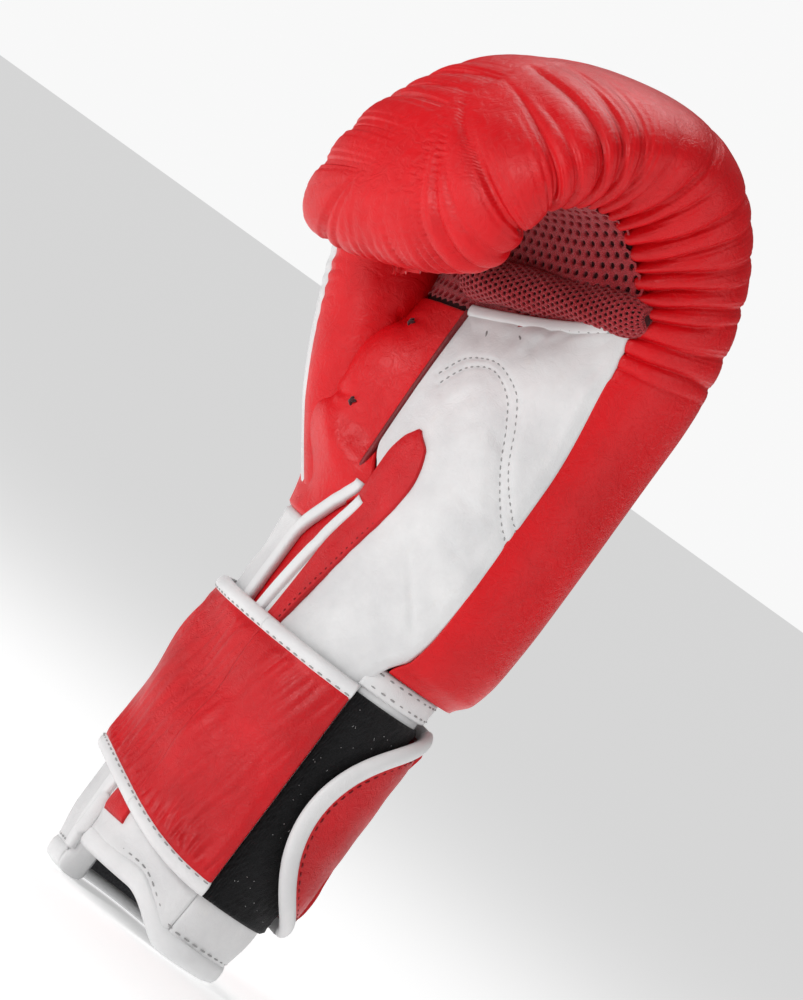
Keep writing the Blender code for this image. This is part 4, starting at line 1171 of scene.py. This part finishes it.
def make_strap():
    for section in SECTIONS:
        label, start, end = section[:3]
        node = section[7]
        obj = strap_band(f"strap_{label}_leather", section, lambda u: strap_low(u) + STRAP_EDGE - 0.0012,
                         lambda u: STRAP_TOP - STRAP_EDGE + 0.0012 + 0 * u, STRAP_THICK, STRAP_RED, True)
        bend(obj, section, "red_leather", *([node + "_panel"] if node else []), fill=0.5)
        for where, low, high in (("upper", lambda u: STRAP_TOP - STRAP_EDGE + 0 * u, lambda u: STRAP_TOP + 0 * u),
                                 ("lower", strap_low, lambda u: strap_low(u) + STRAP_EDGE)):
            obj = strap_band(f"strap_{label}_{where}_edge", section, low, high, STRAP_THICK + 0.0010, TRIM, False)
            bend(obj, section, "white_trim", *([f"{node}_{where}_binding"] if node else []))
        arc = np.linspace(start, end, 150)
        rows = []
        for z in (STRAP_TOP - STRAP_EDGE + 0.0012 + 0 * arc, strap_low(arc) + STRAP_EDGE - 0.0012):
            sew(rows, strap_path(arc, STRAP_THICK + 0.00055, z), 0.0022, 0.0013)
        bend(threads(f"strap_{label}_stitches", rows, THREAD_WHITE), section, "white_trim")
    make_tab()


def tab_outline(inset):
    """Outline of the strap's round end, as length and height: top edge, round the tip, lower edge."""
    turn = np.linspace(math.pi / 2, -math.pi / 2, 160)
    arc = TAB_CENTRE + (TAB_HALF - inset) * np.cos(turn)
    z = TAB_MIDDLE + (TAB_HALF - inset) * np.sin(turn)
    lead = np.linspace(TAB_START, TAB_CENTRE, 12)[:-1]
    if TAB_CENTRE <= TAB_START + 1e-4:
        lead = np.empty(0)
    arc = np.concatenate([lead, arc, lead[::-1]])
    z = np.concatenate([lead * 0 + STRAP_TOP - inset, z, lead * 0 + TAB_LOW + inset])
    keep = arc >= TAB_START - 1e-6
    return arc[keep], z[keep]


def tab_grid(inset, rows):
    """Length and height of a grid over the round end, from its lower edge at row 0 to its upper edge."""
    half = len(tab_outline(inset)[0]) // 2
    return [mix(ring[::-1][None, :half], ring[None, :half], rows) for ring in tab_outline(inset)]


def make_tab():
    rows = np.linspace(0, 1, 60)[:, None]
    arc, z = tab_grid(0.0045, rows)
    edge = np.minimum(np.minimum(rows, 1 - rows) * (z[-1] - z[0])[None], 1)
    out = STRAP_THICK + 0.00015 + 0.0002 * noise(np.stack([arc, z, 0 * z], axis=-1), 0.020, 71)
    out = out - edge_sink(np.maximum(edge, 0), 0.0006)
    own(slab("strap_tab_leather", strap_point(arc, out, z), strap_point(arc, 0 * out, z), STRAP_RED, flip=True),
        "red_leather", "strap_tab_panel", body="strap_tab", fill=0.6)
    arc, z = tab_outline(0.0028)
    turn = np.linspace(0, 2 * math.pi, 17)[:-1]
    profile = [(0.0031 * math.cos(a), 0.0021 * math.sin(a)) for a in turn]
    own(sweep("strap_tab_rolled_piping", *strap_path(arc, 0.0016, z), profile, TRIM), "white_trim",
        "strap_tab_piping", body="strap_tab")
    arc, z = tab_outline(0.0063)
    rows = []
    sew(rows, strap_path(arc, STRAP_THICK + 0.0002, z), 0.0019, 0.0012)
    own(threads("strap_tab_stitches", rows, THREAD_RED), "red_leather", body="strap_tab")


def make_hook():
    """Hook pad under the round end: a stiff backing with a bed of small hooks."""
    arc, z = tab_grid(0.0112, np.linspace(0, 1, 150)[:, None])
    bed = -0.0013 - 0.00035 * np.clip(np.sin(arc / 0.0016 * 2 * math.pi) * np.sin(z / 0.0016 * 2 * math.pi), 0, 1)
    own(slab("strap_hook_pad", strap_point(arc, bed, z), strap_point(arc, 0 * bed - 0.0003, z), HOOKS),
        "black_pile", "hook_pad", body="strap_tab")


make_mitt()
make_palm()
make_mesh()
make_grip()
make_thumb()
make_cuff()
make_strap()
make_hook()
own(threads("glove_white_stitches", WHITE_ROWS, THREAD_WHITE), "white_trim")
own(threads("glove_red_stitches", RED_ROWS, THREAD_RED), "red_leather")


# ---------------------------------------------------------------- studio

def pale_paper():
    """Matt near-white paper of the floor."""
    paper = bpy.data.materials.new("floor_paper")
    paper.use_nodes = True
    shader = paper.node_tree.nodes["Principled BSDF"]
    for socket, value in (("Base Color", (0.8, 0.8, 0.8, 1)), ("Roughness", 0.9), ("Specular IOR Level", 0.0),
                          ("Emission Color", (1, 1, 1, 1)), ("Emission Strength", 0.46)):
        shader.inputs[socket].default_value = value
    return paper


def make_studio():
    roll = math.radians(PICTURE_ROLL)
    back, side, up = Vector(TOWARDS), Vector(ACROSS), Vector(UPRIGHT)
    right = side * math.cos(roll) + up * math.sin(roll)
    top = up * math.cos(roll) - side * math.sin(roll)
    middle = Vector(SHIFT) + side * CENTRE_ACROSS + up * CENTRE_UP
    camera = bpy.data.cameras.new("camera")
    camera.sensor_fit = "VERTICAL"
    camera.sensor_height = SENSOR
    camera.lens = SENSOR * CAMERA_DISTANCE / (PICTURE_HEIGHT * PIXEL * MM)
    camera.clip_start = 0.05
    eye = bpy.data.objects.new("camera", camera)
    matrix = Matrix((right, top, back)).transposed().to_4x4()
    matrix.translation = middle + back * CAMERA_DISTANCE
    eye.matrix_world = matrix
    bpy.context.scene.collection.objects.link(eye)
    bpy.context.scene.camera = eye

    for name, place, size, energy in (("key", right * -0.55 + top * 0.75 + back * 0.75, 0.5, 6.4),
                                      ("fill", right * 0.9 - top * 0.2 + back * 0.6, 0.9, 3.0),
                                      ("rim", right * 0.3 + top * 0.9 - back * 0.5, 0.8, 5.0)):
        lamp = bpy.data.lights.new(name, "AREA")
        lamp.shape = "DISK"
        lamp.size = size
        lamp.energy = energy
        light = bpy.data.objects.new(name, lamp)
        light.location = middle + place
        light.rotation_euler = (middle - light.location).to_track_quat("-Z", "Y").to_euler()
        bpy.context.scene.collection.objects.link(light)

    floor = to_object("floor", np.array([(x, y, -0.0002) for x, y in ((-6, -6), (6, -6), (6, 6), (-6, 6))]),
                      [(0, 1, 2, 3)], pale_paper(), smooth=False)

    world = bpy.context.scene.world or bpy.data.worlds.new("world")
    bpy.context.scene.world = world
    world.use_nodes = True
    tree = world.node_tree
    sky = tree.nodes["Background"]
    sky.inputs["Color"].default_value = (1, 1, 1, 1)
    paper = tree.nodes.new("ShaderNodeBackground")
    paper.inputs["Color"].default_value = (0.94, 0.94, 0.94, 1)
    blend = tree.nodes.new("ShaderNodeMixShader")
    seen = tree.nodes.new("ShaderNodeLightPath")
    dim = tree.nodes.new("ShaderNodeMapRange")    # the sky is dimmer in gloss than on matt surfaces
    dim.inputs["To Min"].default_value = 0.26
    dim.inputs["To Max"].default_value = 0.10
    for source, target in ((seen.outputs["Is Glossy Ray"], dim.inputs["Value"]),
                           (dim.outputs[0], sky.inputs["Strength"]),
                           (seen.outputs["Is Camera Ray"], blend.inputs[0]), (sky.outputs[0], blend.inputs[1]),
                           (paper.outputs[0], blend.inputs[2]),
                           (blend.outputs[0], tree.nodes["World Output"].inputs["Surface"])):
        tree.links.new(source, target)

    bpy.context.scene.view_settings.view_transform = "Standard"


make_studio()
